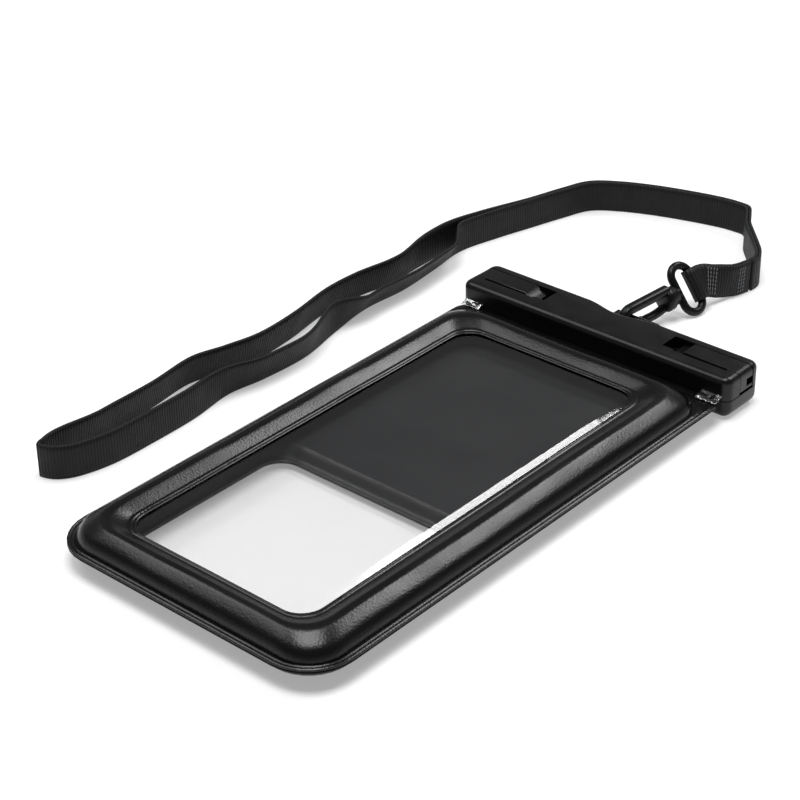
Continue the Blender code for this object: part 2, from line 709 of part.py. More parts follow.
def strand(name, points, thickness, look, parent):
    route = smooth_route(on_edge(points), TAPE_STEP)
    shape = sweep(route, UP, flat_section(WEBBING_WIDTH / 2, thickness / 2))
    return add_object(name, shape, look, parent=parent)


def lanyard_end(look, parent, far_wire, hook_way, long_way):
    """Tape folded round the eye's far wire and stitched to itself."""
    tail = [Vector(point) for point in TAPE_TAIL]
    middle = smooth_route([far_wire, far_wire + hook_way * TAPE_START, *tail], END_STEP)
    turn_radius = EYE_WIRE / 2 + CLEARANCE + WEBBING / 2
    layer = (WEBBING + LAYER_GAP) / 2
    there, back, wide_there, wide_back = [], [], [], []
    length = len(middle) - 1
    for k, point in enumerate(middle):
        if not k:
            continue
        after = middle[min(k + 1, length)]
        along = (after - middle[k - 1]).normalized()
        wide = long_way.lerp(UP, min(1.0, max(0, k - 1) / 6)).normalized()
        side = wide.cross(along).normalized()
        wide = along.cross(side).normalized()
        spread = layer + (turn_radius - layer) * max(0.0, 1 - k / 3) ** 1.3
        there.insert(0, point + side * spread)
        wide_there.insert(0, wide)
        back.append(point - side * spread)
        wide_back.append(wide)
    side = long_way.cross(hook_way).normalized()
    turn = []
    for step in range(9):
        angle = pi * step / 8
        turn.append(far_wire + side * turn_radius * cos(angle) - hook_way * turn_radius * sin(angle))
    route = there + turn + back
    wide = wide_there + [long_way] * len(turn) + wide_back
    shape = sweep(route, wide, flat_section(WEBBING_WIDTH / 2, WEBBING / 2))
    return add_object("lanyard_end", shape, look, parent=parent)


def build():
    clear_scene()
    film = material("black_film", (0.012, 0.012, 0.013), 0.34)
    sheet = material("clear_sheet", (0.9, 0.92, 0.93), 0.08, alpha=0.3)
    foam = material("foam", (0.03, 0.03, 0.03), 0.9)
    plastic = material("clamp_plastic", (0.010, 0.010, 0.011), 0.42)
    rubber = material("seal_rubber", (0.05, 0.05, 0.05), 0.7)
    steel = material("pin_steel", (0.55, 0.55, 0.56), 0.3, metallic=1.0)
    webbing = material("webbing", (0.008, 0.008, 0.009), 0.85)

    pouch = bpy.data.objects.new("pouch_place", None)
    bpy.context.collection.objects.link(pouch)
    pouch.location = (0, -OVERALL_LENGTH / 2, 0)
    hook_place = bpy.data.objects.new("hook_place", None)
    bpy.context.collection.objects.link(hook_place)
    hook_place.parent = pouch
    hook_place.location = (HOOK_PLACE, LUG_BAR_PLACE, HOOK_HEIGHT)
    hook_place.rotation_euler = (HOOK_PITCH, 0, HOOK_YAW)

    front_panel(film, pouch)
    front_foam(foam, pouch)
    front_window(sheet, pouch)
    back_panel(film, pouch)
    back_pad(foam, pouch)
    camera_window(sheet, pouch)
    upper_bar(plastic, pouch, Vector((0, FILM_LENGTH, HINGE_HEIGHT)))
    lower_bar(plastic, pouch)
    seal_strip(rubber, pouch)
    for side in (1, -1):
        latch(side, plastic, pouch)
        latch_pin(side, steel, pouch)
    snap_hook(plastic, hook_place)
    hook_gate(plastic, hook_place)
    swivel_eye(plastic, hook_place)

    turn = Matrix.Rotation(HOOK_YAW, 3, "Z") @ Matrix.Rotation(HOOK_PITCH, 3, "X")
    wire_centre = Vector((0, EYE_CENTRE + EYE_DEPTH / 2 - EYE_WIRE / 2, 0))
    far_wire = Vector((HOOK_PLACE, LUG_BAR_PLACE, HOOK_HEIGHT)) + turn @ wire_centre
    long_way = turn @ Vector((sin(EYE_TILT), 0, cos(EYE_TILT)))
    lanyard_end(webbing, pouch, far_wire, turn @ Vector((0, 1, 0)), long_way)
    layer = (WEBBING + LAYER_GAP) / 2
    strand("lanyard_lead", LEAD, 2 * WEBBING + LAYER_GAP, webbing, pouch)
    strand("lanyard_near_strand", NEAR_STRAND + beside(DOUBLED_STRANDS, -layer), WEBBING, webbing, pouch)
    strand("lanyard_far_strand", FAR_STRAND + beside(DOUBLED_STRANDS, layer), WEBBING, webbing, pouch)


build()
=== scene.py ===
# %% [markdown]
# # A waterproof phone pouch
# The real object is two black films welded round their edge, with a padded rim round a clear
# window, a snap clamp that shuts its mouth, and a strap on a swivel hook. The CAD model gives
# every size. This lesson makes the surfaces that the eye sees, piece by piece, on top of it.

# %% The frame and the tools
from math import cos, pi, radians, sin

import bmesh
import bpy
from mathutils import Matrix, Vector, noise


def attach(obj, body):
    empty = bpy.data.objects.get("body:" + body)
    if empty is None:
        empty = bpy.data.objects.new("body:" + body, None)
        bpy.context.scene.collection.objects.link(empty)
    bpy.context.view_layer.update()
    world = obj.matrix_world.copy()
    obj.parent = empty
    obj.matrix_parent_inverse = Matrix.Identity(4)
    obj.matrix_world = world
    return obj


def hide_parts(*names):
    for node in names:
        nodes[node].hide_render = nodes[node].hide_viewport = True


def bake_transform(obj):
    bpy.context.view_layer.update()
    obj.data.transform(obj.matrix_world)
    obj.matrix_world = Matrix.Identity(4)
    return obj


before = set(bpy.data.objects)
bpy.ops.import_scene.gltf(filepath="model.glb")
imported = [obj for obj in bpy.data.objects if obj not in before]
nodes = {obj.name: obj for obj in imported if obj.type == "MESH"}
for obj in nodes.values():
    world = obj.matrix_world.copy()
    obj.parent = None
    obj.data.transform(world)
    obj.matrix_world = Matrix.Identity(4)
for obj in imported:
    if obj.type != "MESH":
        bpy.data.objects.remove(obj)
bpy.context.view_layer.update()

# %% [markdown]
# ## The camera
# The photograph was taken from above and to the right of the near end, through a long lens.
# A camera's matrix is built from three directions: right, up and back. The back direction comes
# from the two viewing angles, and the other two are turned by the small roll of the picture.

# %% The camera
AZIMUTH, ELEVATION, ROLL = radians(41.539), radians(30.468), radians(-0.836)
TARGET = Vector((-0.0353, 0.02531, 0.0))
DISTANCE = 0.72206

back = Vector((sin(AZIMUTH) * cos(ELEVATION), -cos(AZIMUTH) * cos(ELEVATION), sin(ELEVATION)))
flat_right = Vector((cos(AZIMUTH), sin(AZIMUTH), 0))
flat_up = back.cross(flat_right)
right = flat_right * cos(ROLL) + flat_up * sin(ROLL)
up = flat_up * cos(ROLL) - flat_right * sin(ROLL)
lens = bpy.data.cameras.new("photo_camera")
lens.lens = 96.545
lens.sensor_width = 36
lens.clip_start = 0.01
camera = bpy.data.objects.new("photo_camera", lens)
turn = Matrix((right, up, back)).transposed().to_4x4()
camera.matrix_world = Matrix.Translation(TARGET + back * DISTANCE) @ turn
bpy.context.collection.objects.link(camera)
bpy.context.scene.camera = camera
print("camera at", [round(value, 3) for value in camera.matrix_world.translation])

# %% [markdown]
# ## Helpers for materials
# Colours are written as hex, as in a paint program, and turned into the linear values that the
# renderer counts with. One function adds a node, sets its values and links its inputs, so that
# a material reads as a list of what it is made of.

# %% Helpers for materials
def colour(hex_code):
    """An sRGB hex colour as linear red, green, blue and alpha."""
    parts = [int(hex_code[k:k + 2], 16) / 255 for k in (1, 3, 5)]
    linear = [part / 12.92 if part <= 0.04045 else ((part + 0.055) / 1.055) ** 2.4 for part in parts]
    return (*linear, 1.0)


def new_material(name):
    """An empty material."""
    made = bpy.data.materials.new(name)
    made.use_nodes = True
    made.node_tree.nodes.clear()
    return made


def add(look, kind, links=None, **settings):
    """Add a node. Settings name its properties or its inputs, and links join inputs to outputs."""
    tree = look.node_tree
    node = tree.nodes.new("ShaderNode" + kind)
    for name, value in settings.items():
        if hasattr(node, name):
            setattr(node, name, value)
        else:
            node.inputs[name.replace("_", " ")].default_value = value
    for name, socket in (links or {}).items():
        tree.links.new(socket, node.inputs[name])
    return node


def ramp(look, source, low, high, dark, light):
    """Map a pattern between two levels onto a range of numbers."""
    node = add(look, "MapRange", {"Value": source})
    for name, value in zip(("From Min", "From Max", "To Min", "To Max"), (low, high, dark, light)):
        node.inputs[name].default_value = value
    return node.outputs["Result"]


# %% [markdown]
# ## Black PVC film
# The pouch's skin is calendered PVC, pressed with a fine pebble as it leaves the rollers. It is
# satin black: the colour hardly matters, and the shine does. The pebble breaks each highlight into
# small sparks, so it is a Voronoi bump with grains about 0.6 mm wide, plus slow changes of gloss.

# %% Black PVC film
def pvc_film(name, shade, gloss, grain_mm, grain_depth):
    look = new_material(name)
    place = add(look, "TexCoord").outputs["Object"]
    grain = add(look, "TexVoronoi", {"Vector": place}, Scale=1000 / grain_mm, feature="SMOOTH_F1")
    fine = add(look, "TexNoise", {"Vector": place}, Scale=1800, Detail=2.0)
    slow = add(look, "TexNoise", {"Vector": place}, Scale=55, Detail=3.0)
    faint = ramp(look, fine.outputs["Fac"], 0.0, 1.0, 0.0, 0.3)
    relief = add(look, "Math", {0: grain.outputs["Distance"], 1: faint}, operation="ADD")
    bump = add(look, "Bump", {"Height": relief.outputs["Value"]}, Strength=0.8, Distance=grain_depth)
    rough = ramp(look, slow.outputs["Fac"], 0.3, 0.7, gloss - 0.04, gloss + 0.06)
    shader = add(
        look, "BsdfPrincipled", {"Roughness": rough, "Normal": bump.outputs["Normal"]}, IOR=1.52,
    )
    shader.inputs["Base Color"].default_value = colour(shade)
    shader.inputs["Specular IOR Level"].default_value = 0.30
    add(look, "OutputMaterial", {"Surface": shader.outputs["BSDF"]})
    return look


film = pvc_film("calendered_black_pvc", "#070708", 0.25, 0.6, 0.00005)
inner_film = pvc_film("smooth_black_pvc", "#1a1b1d", 0.40, 0.9, 0.00002)
print("film materials:", film.name, inner_film.name)

# %% [markdown]
# ## Clear PVC sheet
# Both windows are clear sheet, 0.3 mm thick. Thin flat plastic hardly bends what is behind it,
# so a see-through shader is mixed with a sharp reflection, and the Fresnel node decides how much
# of each is seen: little straight on, and much more at a low angle. From behind, that node counts
# with the light leaving a solid block, which here would be a mirror, so only front faces reflect.

# %% Clear PVC sheet
def clear_sheet(name, tint, haze, crinkle, strength):
    look = new_material(name)
    place = add(look, "TexCoord").outputs["Object"]
    ripple = add(look, "TexNoise", {"Vector": place}, Scale=90, Detail=2.0)
    bump = add(look, "Bump", {"Height": ripple.outputs["Fac"]}, Strength=crinkle, Distance=0.0008)
    through = add(look, "BsdfTransparent", Color=colour(tint))
    gloss = add(look, "BsdfGlossy", {"Normal": bump.outputs["Normal"]}, Roughness=haze)
    gloss.inputs["Color"].default_value = colour("#ffffff")
    angle = add(look, "Fresnel", {"Normal": bump.outputs["Normal"]}, IOR=1.5)
    behind = add(look, "NewGeometry").outputs["Backfacing"]
    front = ramp(look, behind, 0.0, 1.0, strength, 0.0)
    share = add(look, "Math", {0: angle.outputs["Fac"], 1: front}, operation="MULTIPLY", use_clamp=True)
    mix = add(look, "MixShader", {0: share.outputs[0], 1: through.outputs["BSDF"], 2: gloss.outputs["BSDF"]})
    add(look, "OutputMaterial", {"Surface": mix.outputs["Shader"]})
    return look


window_sheet = clear_sheet("clear_pvc_sheet", "#fdfdfd", 0.11, 0.10, 1.5)
crinkled_sheet = clear_sheet("crinkled_clear_pvc", "#d9dcdd", 0.12, 0.9, 4.0)

# %% [markdown]
# ## Moulded plastics, steel and rubber
# The clamp is moulded ABS with a fine spark-eroded texture, so its bump is a noise about 0.25 mm
# wide. The hook is acetal, which is smoother and a little greyer. The pivot pins are drawn steel,
# and the seal, which shows when the clamp is open, is moulded rubber.

# %% Moulded plastics, steel and rubber
def moulded(name, shade, gloss, grain_mm, grain_depth, level=0.5, metal=0.0):
    look = new_material(name)
    place = add(look, "TexCoord").outputs["Object"]
    grain = add(look, "TexNoise", {"Vector": place}, Scale=1000 / grain_mm, Detail=2.0)
    slow = add(look, "TexNoise", {"Vector": place}, Scale=120, Detail=2.0)
    bump = add(look, "Bump", {"Height": grain.outputs["Fac"]}, Strength=0.5, Distance=grain_depth)
    rough = ramp(look, slow.outputs["Fac"], 0.3, 0.7, gloss - 0.04, gloss + 0.06)
    shader = add(look, "BsdfPrincipled", {"Roughness": rough, "Normal": bump.outputs["Normal"]})
    shader.inputs["Base Color"].default_value = colour(shade)
    shader.inputs["Specular IOR Level"].default_value = level
    shader.inputs["Metallic"].default_value = metal
    add(look, "OutputMaterial", {"Surface": shader.outputs["BSDF"]})
    return look


clamp_plastic = moulded("moulded_black_abs", "#0a0a0b", 0.30, 0.25, 0.00002, level=0.28)
hook_plastic = moulded("moulded_black_acetal", "#0b0c0d", 0.32, 0.5, 0.00001, level=0.2)
pin_steel = moulded("drawn_steel", "#c8c9cc", 0.22, 0.2, 0.00001, metal=1.0)
seal_rubber = moulded("moulded_grey_rubber", "#2c2d2f", 0.62, 0.3, 0.00002)

# %% [markdown]
# ## Woven polyester tape
# The strap is flat tape, 12 mm wide, with ribs across it about 1.05 mm apart. The ribs follow the
# tape round its bends, so they read the tape's own UV map, laid out in metres: U runs along the
# tape and V across it. Finer threads run between the ribs. The rib crests are painted lighter and
# the hollows between them darker, as a painted highlight and painted shade.

# %% Woven polyester tape
RIB_PITCH = 0.00105


def woven_tape(name, shade, bright):
    look = new_material(name)
    place = add(look, "UVMap").outputs["UV"]
    spread = add(look, "Mapping", {"Vector": place})
    spread.inputs["Scale"].default_value = (1 / RIB_PITCH, 1 / 0.0006, 1)
    ribs = add(look, "TexWave", {"Vector": spread.outputs["Vector"]}, Scale=2 * pi / 20)
    ribs.inputs["Distortion"].default_value = 0.6
    threads = add(look, "TexNoise", {"Vector": spread.outputs["Vector"]}, Scale=1.6, Detail=2.0)
    slow = add(look, "TexNoise", {"Vector": place}, Scale=160, Detail=2.0)
    height = ramp(look, threads.outputs["Fac"], 0.0, 1.0, 0.0, 0.45)
    relief = add(look, "Math", {0: ribs.outputs["Fac"], 1: height}, operation="ADD")
    bump = add(look, "Bump", {"Height": relief.outputs["Value"]}, Strength=0.8, Distance=0.00022)
    rough = ramp(look, slow.outputs["Fac"], 0.0, 1.0, 0.46, 0.66)
    # Painted highlight and shade: the same wave as the bump makes the rib crests lighter and the hollows
    # between them darker.
    rib_highlight_mix = add(look, "Mix", {"Factor": ribs.outputs["Fac"]}, data_type="RGBA")
    rib_highlight_mix.inputs[6].default_value = colour(shade)
    rib_highlight_mix.inputs[7].default_value = colour(bright)
    shader = add(look, "BsdfPrincipled", {
        "Base Color": rib_highlight_mix.outputs[2], "Roughness": rough, "Normal": bump.outputs["Normal"],
    })
    shader.inputs["Specular IOR Level"].default_value = 0.25
    add(look, "OutputMaterial", {"Surface": shader.outputs["BSDF"]})
    return look


tape = woven_tape("woven_black_polyester", "#060607", "#161618")
thread = moulded("bonded_grey_thread", "#6e7073", 0.45, 0.3, 0.00004)

# %% [markdown]
# ## Helpers for shapes
# Lengths on the pouch are counted from the near edge of its flange, as a maker would measure
# them, and one function turns such a length into the frame's Y. Another makes a finished object
# from mesh data: it stays at the origin, and edges sharper than the given angle stay crisp.

# %% Helpers for shapes
NEAR_EDGE = -0.11345


def at(length):
    """The frame's Y of a length counted from the near edge."""
    return length + NEAR_EDGE


def piece_from(name, body, look, sharp=40):
    """A finished object at the origin, with smooth shading and outward faces."""
    bmesh.ops.remove_doubles(body, verts=body.verts, dist=1e-7)
    bmesh.ops.recalc_face_normals(body, faces=body.faces)
    mesh = bpy.data.meshes.new(name)
    body.to_mesh(mesh)
    body.free()
    mesh.materials.append(look)
    mesh.shade_smooth()
    mesh.set_sharp_from_angle(angle=radians(sharp))
    made = bpy.data.objects.new(name, mesh)
    bpy.context.collection.objects.link(made)
    print(name, "has", len(mesh.polygons), "faces")
    return made


def round_off(body, corners, radius, steps, affect="VERTICES"):
    """Bevel corners, or edges, to a quarter round."""
    bmesh.ops.bevel(
        body, geom=corners, offset=radius, segments=steps, profile=0.5, affect=affect, material=-1,
    )


def push_out(body, faces, way):
    """Extrude faces and move what is new; the result is the new geometry."""
    made = bmesh.ops.extrude_face_region(body, geom=faces)["geom"]
    verts = [item for item in made if isinstance(item, bmesh.types.BMVert)]
    bmesh.ops.translate(body, verts=verts, vec=way)
    return made


def hand_over(piece, slot, rides, *stood_for):
    """Hide the nodes that a piece stands for and hang it on the body that carries it. The slot, what it is
    made of, is not used.
    """
    if stood_for:
        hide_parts(*stood_for)
    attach(piece, rides)


def running_lengths(points):
    """How far along a line each of its points lies."""
    lengths = [0.0]
    for one, two in zip(points, points[1:]):
        lengths.append(lengths[-1] + (two - one).length)
    return lengths


def heading(points, k):
    """The direction of a line at one of its points."""
    return (points[min(k + 1, len(points) - 1)] - points[max(k - 1, 0)]).normalized()


# %% [markdown]
# ## The strap's route
# The strap lies on its edge along the floor. It is doubled: a near and a far layer run side by side
# from the stitched end to a fold at the far left. A smooth curve through a few measured points
# gives each layer's middle line, and a lean tells how far its top edge tips over.

# %% The strap's route
TAPE_WIDTH = 0.0120
TAPE_THICKNESS = 0.0010
LAYER_GAP = 0.0003
NEAR_STRAND = [
    (-0.0926, 0.0309), (-0.0914, 0.0296), (-0.0865, 0.0318), (-0.0825, 0.038), (-0.0798, 0.050),
    (-0.0795, 0.066), (-0.0802, 0.086), (-0.0828, 0.104), (-0.0808, 0.120), (-0.0805, 0.140),
    (-0.0848, 0.160), (-0.0880, 0.180), (-0.0872, 0.200), (-0.0892, 0.220), (-0.0915, 0.238),
    (-0.0878, 0.256),
]
FAR_STRAND = [
    (-0.0926, 0.0309), (-0.0945, 0.040), (-0.0955, 0.060), (-0.0960, 0.080), (-0.0982, 0.100),
    (-0.0948, 0.114), (-0.0922, 0.128), (-0.0935, 0.146), (-0.0970, 0.166), (-0.0970, 0.183),
    (-0.0946, 0.200), (-0.0952, 0.220), (-0.0955, 0.236), (-0.0915, 0.252),
]
DOUBLED = [
    (-0.0843, 0.271), (-0.0798, 0.287), (-0.0756, 0.2985), (-0.0665, 0.3055), (-0.0535, 0.3115),
    (-0.0385, 0.3163), (-0.0270, 0.3190), (-0.0207, 0.3195),
]
LEAD = [
    (-0.0157, 0.3189), (-0.0118, 0.3136), (-0.0086, 0.3083), (-0.0042, 0.3033), (0.0003, 0.2985),
    (0.0043, 0.2942), (0.0079, 0.2900), (0.0102, 0.2856), (0.0104, 0.2809),
]


def smooth_line(points, spacing):
    """Evenly spaced points on a smooth curve through the given ones."""
    ends = [points[0] * 2 - points[1], *points, points[-1] * 2 - points[-2]]
    dense = []
    for a, b, c, d in zip(ends, ends[1:], ends[2:], ends[3:]):
        for step in range(16):
            t = step / 16
            dense.append(0.5 * (
                2 * b + (c - a) * t + (2 * a - 5 * b + 4 * c - d) * t ** 2
                + (3 * b - a - 3 * c + d) * t ** 3
            ))
    dense.append(points[-1])
    lengths = running_lengths(dense)
    count = max(2, round(lengths[-1] / spacing))
    line, k = [], 0
    for step in range(count + 1):
        want = lengths[-1] * step / count
        while k < len(dense) - 2 and lengths[k + 1] < want:
            k += 1
        share = (want - lengths[k]) / (lengths[k + 1] - lengths[k])
        line.append(dense[k].lerp(dense[k + 1], min(1.0, share)))
    return line


def sideways(points, distance):
    """A line moved sideways on the floor, for a layer that lies against another."""
    moved = []
    for k, point in enumerate(points):
        along = heading(points, k)
        moved.append(point + Vector((-along.y, along.x, 0)) * distance)
    return moved


def floor_points(points):
    return [Vector((x, at(y), 0)) for x, y in points]


# %% [markdown]
# ## One layer of tape
# Woven tape starts as a flat strip, and so does this one: a grid as long as the route. Each of
# its rows is then carried to its place on the route and turned upright, or leaned where the real
# tape twists. The grid's UV map is set in metres, and a Solidify step gives the tape its thickness.

# %% One layer of tape
def tape_strip(route, upright, rows_across=6):
    """A flat grid bent along a route; upright holds the direction across the tape at each point."""
    body = bmesh.new()
    stations = len(route) - 1
    bmesh.ops.create_grid(body, x_segments=stations, y_segments=rows_across, size=0.5, calc_uvs=True)
    layout = body.loops.layers.uv.verify()
    lengths = running_lengths(route)
    for face in body.faces:
        for corner in face.loops:
            k = round((corner.vert.co.x + 0.5) * stations)
            corner[layout].uv = (lengths[k], corner.vert.co.y * TAPE_WIDTH)
    for vert in body.verts:
        k = round((vert.co.x + 0.5) * stations)
        vert.co = route[k] + upright[k] * vert.co.y * TAPE_WIDTH
    bmesh.ops.recalc_face_normals(body, faces=body.faces)
    return body


def add_thickness(piece, amount, offset=0.0):
    wall = piece.modifiers.new("wall", "SOLIDIFY")
    wall.thickness = amount
    wall.offset = offset
    wall.use_even_offset = True
    wall.use_rim = True


def leaning(line, leans):
    """Raise a floor line to the tape's middle and lean it.

    Leans are (Y from, Y to, degrees, how soon): the last is the share of the way in which the tape
    turns to its full lean, and turns back again.
    """
    middles, across = [], []
    for k, point in enumerate(line):
        along = heading(line, k)
        beside = Vector((along.y, -along.x, 0))
        if beside.x < 0:
            beside = -beside
        angle = 0.0
        for start, end, degrees, soon in leans:
            share = (point.y - at(start)) / (at(end) - at(start))
            if 0 < share < 1:
                full = min(1.0, share / soon, (1 - share) / soon)
                angle += radians(degrees) * full * full * (3 - 2 * full)
        tip = Vector((0, 0, 1)) * cos(angle) + beside * sin(angle)
        across.append(tip)
        middles.append(point + tip * TAPE_WIDTH / 2 + Vector((0, 0, TAPE_THICKNESS / 2 * sin(angle))))
    return middles, across


layer = (TAPE_THICKNESS + LAYER_GAP) / 2
shared = floor_points(DOUBLED + LEAD)
near_line = smooth_line(floor_points(NEAR_STRAND) + sideways(shared, -layer), 0.0016)
far_line = smooth_line(floor_points(FAR_STRAND) + sideways(shared, layer), 0.0016)
near_middle, near_across = leaning(near_line, [(0.090, 0.162, 21, 0.4), (0.158, 0.240, 35, 0.20)])
far_middle, far_across = leaning(far_line, [(0.034, 0.225, 15, 0.12)])
near_tape = piece_from("near_tape_layer", tape_strip(near_middle, near_across), tape)
far_tape = piece_from("far_tape_layer", tape_strip(far_middle, far_across), tape)
for strip in (near_tape, far_tape):
    add_thickness(strip, TAPE_THICKNESS)
near_length, far_length = running_lengths(near_middle)[-1], running_lengths(far_middle)[-1]
print("tape layers in mm:", round(1000 * near_length), round(1000 * far_length))

# %% [markdown]
# ## The stitched end
# At the hook the tape goes round the swivel eye's far wire and is sewn to itself. It is one strip
# again: out along the first layer, round the wire and back along the second. Across the wire the
# tape lies flat on it, and a few millimetres later it has turned onto its edge.

# %% The stitched end
HOOK_PLACE = Vector((-0.0030, at(0.2254), 0.0065))
HOOK_TURN = Matrix.Rotation(radians(-9), 3, "Z") @ Matrix.Rotation(radians(4), 3, "X")
EYE_MIDDLE = 0.02845
EYE_LENGTH, EYE_DEPTH, EYE_WIRE = 0.0210, 0.0115, 0.0030
EYE_TILT = radians(-38)
hook_way = HOOK_TURN @ Vector((0, 1, 0))
long_way = HOOK_TURN @ Vector((sin(EYE_TILT), 0, cos(EYE_TILT)))
far_wire = HOOK_PLACE + HOOK_TURN @ Vector((0, EYE_MIDDLE + EYE_DEPTH / 2 - EYE_WIRE / 2, 0))
TAIL = [(0.0054, 0.2666, 0.0077), (0.0086, 0.2732, 0.0065), (0.0100, 0.2803, 0.0060)]


def stitched_end():
    tail = [Vector((x, at(y), z)) for x, y, z in TAIL]
    middle = smooth_line([far_wire, far_wire + hook_way * 0.0038, *tail], 0.0011)
    turn_radius = EYE_WIRE / 2 + LAYER_GAP + TAPE_THICKNESS / 2
    out, home, wide_out, wide_home = [], [], [], []
    for k in range(1, len(middle)):
        along = heading(middle, k)
        wide = long_way.lerp(Vector((0, 0, 1)), min(1.0, max(0, k - 2) / 12)).normalized()
        side = wide.cross(along).normalized()
        wide = along.cross(side).normalized()
        spread = layer + (turn_radius - layer) * max(0.0, 1 - k / 6) ** 1.3
        out.insert(0, middle[k] + side * spread)
        wide_out.insert(0, wide)
        home.append(middle[k] - side * spread)
        wide_home.append(wide)
    side = long_way.cross(hook_way).normalized()
    round_wire = []
    for step in range(13):
        angle = pi * step / 12
        round_wire.append(far_wire + side * turn_radius * cos(angle) - hook_way * turn_radius * sin(angle))
    route = out + round_wire + home
    wide = wide_out + [long_way] * len(round_wire) + wide_home
    return route, wide, middle


end_route, end_wide, end_middle = stitched_end()
sewn_end = piece_from("sewn_tape_end", tape_strip(end_route, end_wide), tape)
add_thickness(sewn_end, TAPE_THICKNESS)

# %% [markdown]
# ## Stitches
# Bonded thread holds the two layers together: a close block of lines across the tape beside the eye
# and a second one near the end. Each stitch is a tiny capsule that sinks a little into the tape, on
# both sides of it.

# %% Stitches
STITCH_LENGTH, STITCH_WIDTH = 0.00125, 0.00036


def stitches(blocks, per_line):
    """Rows of stitches across the tape; blocks are (first, last, lines) lengths from the eye."""
    body = bmesh.new()
    lengths = running_lengths(end_middle)
    for first, last, lines in blocks:
        for line in range(lines):
            want = first + (last - first) * line / (lines - 1)
            k = max(2, min(range(len(lengths)), key=lambda n: abs(lengths[n] - want)))
            out, home = end_route[len(end_middle) - 1 - k], end_route[len(end_middle) + 12 + k - 1]
            wide = end_wide[len(end_middle) - 1 - k]
            side = (out - home).normalized()
            for centre, way in ((out, side), (home, -side)):
                for row in range(per_line):
                    place = centre + way * TAPE_THICKNESS * 0.52
                    place += wide * TAPE_WIDTH * 0.84 * ((row + 0.5) / per_line - 0.5)
                    turn = Matrix((side.cross(wide), wide, side)).transposed().to_4x4()
                    size = Matrix.Diagonal((STITCH_WIDTH / 2, STITCH_LENGTH / 2, STITCH_WIDTH / 2, 1))
                    bmesh.ops.create_uvsphere(
                        body, u_segments=8, v_segments=6, radius=1.0,
                        matrix=Matrix.Translation(place) @ turn @ size @ Matrix.Rotation(pi / 2, 4, "X"),
                    )
    return body


sewing = piece_from("strap_stitches", stitches([(0.0052, 0.0092, 4), (0.0185, 0.0215, 3)], 7), thread)
hand_over(sewing, "webbing", "eye")

# %% [markdown]
# ## The strap in place of the CAD strands
# The two layers take the place of the CAD strands and lead, which are hidden. Each leaves the
# stitched end and comes back to the other at the fold. Where the lead leaves the hook it bends as
# the hook swings. Each layer keeps where it lies in its own mesh, and the stitched end hangs on
# the swivel eye.

# %% The strap in place of the CAD strands
for strip, middle, length, stood_for in (
    (near_tape, near_middle, near_length, ["lanyard_near_strand", "lanyard_lead"]),
    (far_tape, far_middle, far_length, ["lanyard_far_strand", "lanyard_lead"]),
):
    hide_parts(*stood_for)
    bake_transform(strip)
hand_over(sewn_end, "webbing", "eye", "lanyard_end")

# %% [markdown]
# ## Outlines for the film
# Every film part of the pouch is a rounded rectangle. A one-square grid with its corners bevelled
# makes such an outline, and its straight sides are then divided evenly. All outlines get the same
# number of points, so that Bridge Edge Loops can join one to the next without a twist.

# %% Outlines for the film
HALF_POUCH, FILM_LENGTH = 0.055, 0.1965
WINDOW_HALF, WINDOW_NEAR, WINDOW_FAR = 0.0364, 0.0161, 0.1753
CORNER_STEPS, LONG_CUTS, SHORT_CUTS = 8, 54, 32
STACKED_APART = 0.02


def outline(body, sizes, height):
    """Add a rounded rectangle's edges; sizes are half width, near, far, near radius, far radius."""
    half, near, far, near_radius, far_radius = sizes
    before = set(body.edges)
    corners = bmesh.ops.create_grid(body, x_segments=1, y_segments=1, size=0.5)["verts"]
    for vert in corners:
        vert.co = Vector((vert.co.x * 2 * half, at(near + (far - near) * (vert.co.y + 0.5)), height))
    middle = at((near + far) / 2)
    for radius, group in (
        (near_radius, [vert for vert in corners if vert.co.y < middle]),
        (far_radius, [vert for vert in corners if vert.co.y > middle]),
    ):
        round_off(body, group, radius, CORNER_STEPS)
    fresh = [edge for edge in body.edges if edge not in before]
    inside = list({face for edge in fresh for face in edge.link_faces})
    bmesh.ops.delete(body, geom=inside, context="FACES_ONLY")
    straight = [edge for edge in body.edges if edge not in before and edge.calc_length() > 0.02]
    for edge in straight:
        way = edge.verts[0].co - edge.verts[1].co
        cuts = LONG_CUTS if abs(way.y) > abs(way.x) else SHORT_CUTS
        bmesh.ops.subdivide_edges(body, edges=[edge], cuts=cuts)
    return [edge for edge in body.edges if edge not in before]


def bridged(steps):
    """Join a list of (outline sizes, height) into one skin.

    Bridge Edge Loops can't tell which way flat loops run, so the outlines are stacked well apart,
    joined, and only then lowered to their real heights.
    """
    body = bmesh.new()
    loops = [outline(body, sizes, STACKED_APART * k) for k, (sizes, _) in enumerate(steps)]
    for one, two in zip(loops, loops[1:]):
        bmesh.ops.bridge_loops(body, edges=one + two)
    for loop, (_, height) in zip(loops, steps):
        for edge in loop:
            for vert in edge.verts:
                vert.co.z = height
    assert max(face.calc_area() for face in body.faces) < 1e-4, "a bridge is twisted"
    return body


def spread_out(one, two, low, high, count):
    """Outlines between two that lie far apart, so that a bridge finds its way."""
    shares = [step / count for step in range(1, count)]
    return [(mixed(one, two, share), low + (high - low) * share) for share in shares]


def mixed(one, two, share):
    return tuple(a + (b - a) * share for a, b in zip(one, two))


FLANGE = (HALF_POUCH, 0.0, FILM_LENGTH, 0.016, 0.005)
PUFF = (0.0522, 0.0028, 0.1903, 0.0132, 0.0104)
WINDOW = (WINDOW_HALF, WINDOW_NEAR, WINDOW_FAR, 0.008, 0.008)

# %% [markdown]
# ## The padded front rim
# The front film is drawn over a foam frame and welded on both sides of it. From the outside in, its
# section is a flat flange with two weld lines, a steep wall, a broad shoulder, a shallow valley,
# a small bead, and a stepped weld at the window. Each pair of numbers is one outline: how far in
# it lies and how high. Slow noise then lets the skin swell unevenly, as air and foam make it do.

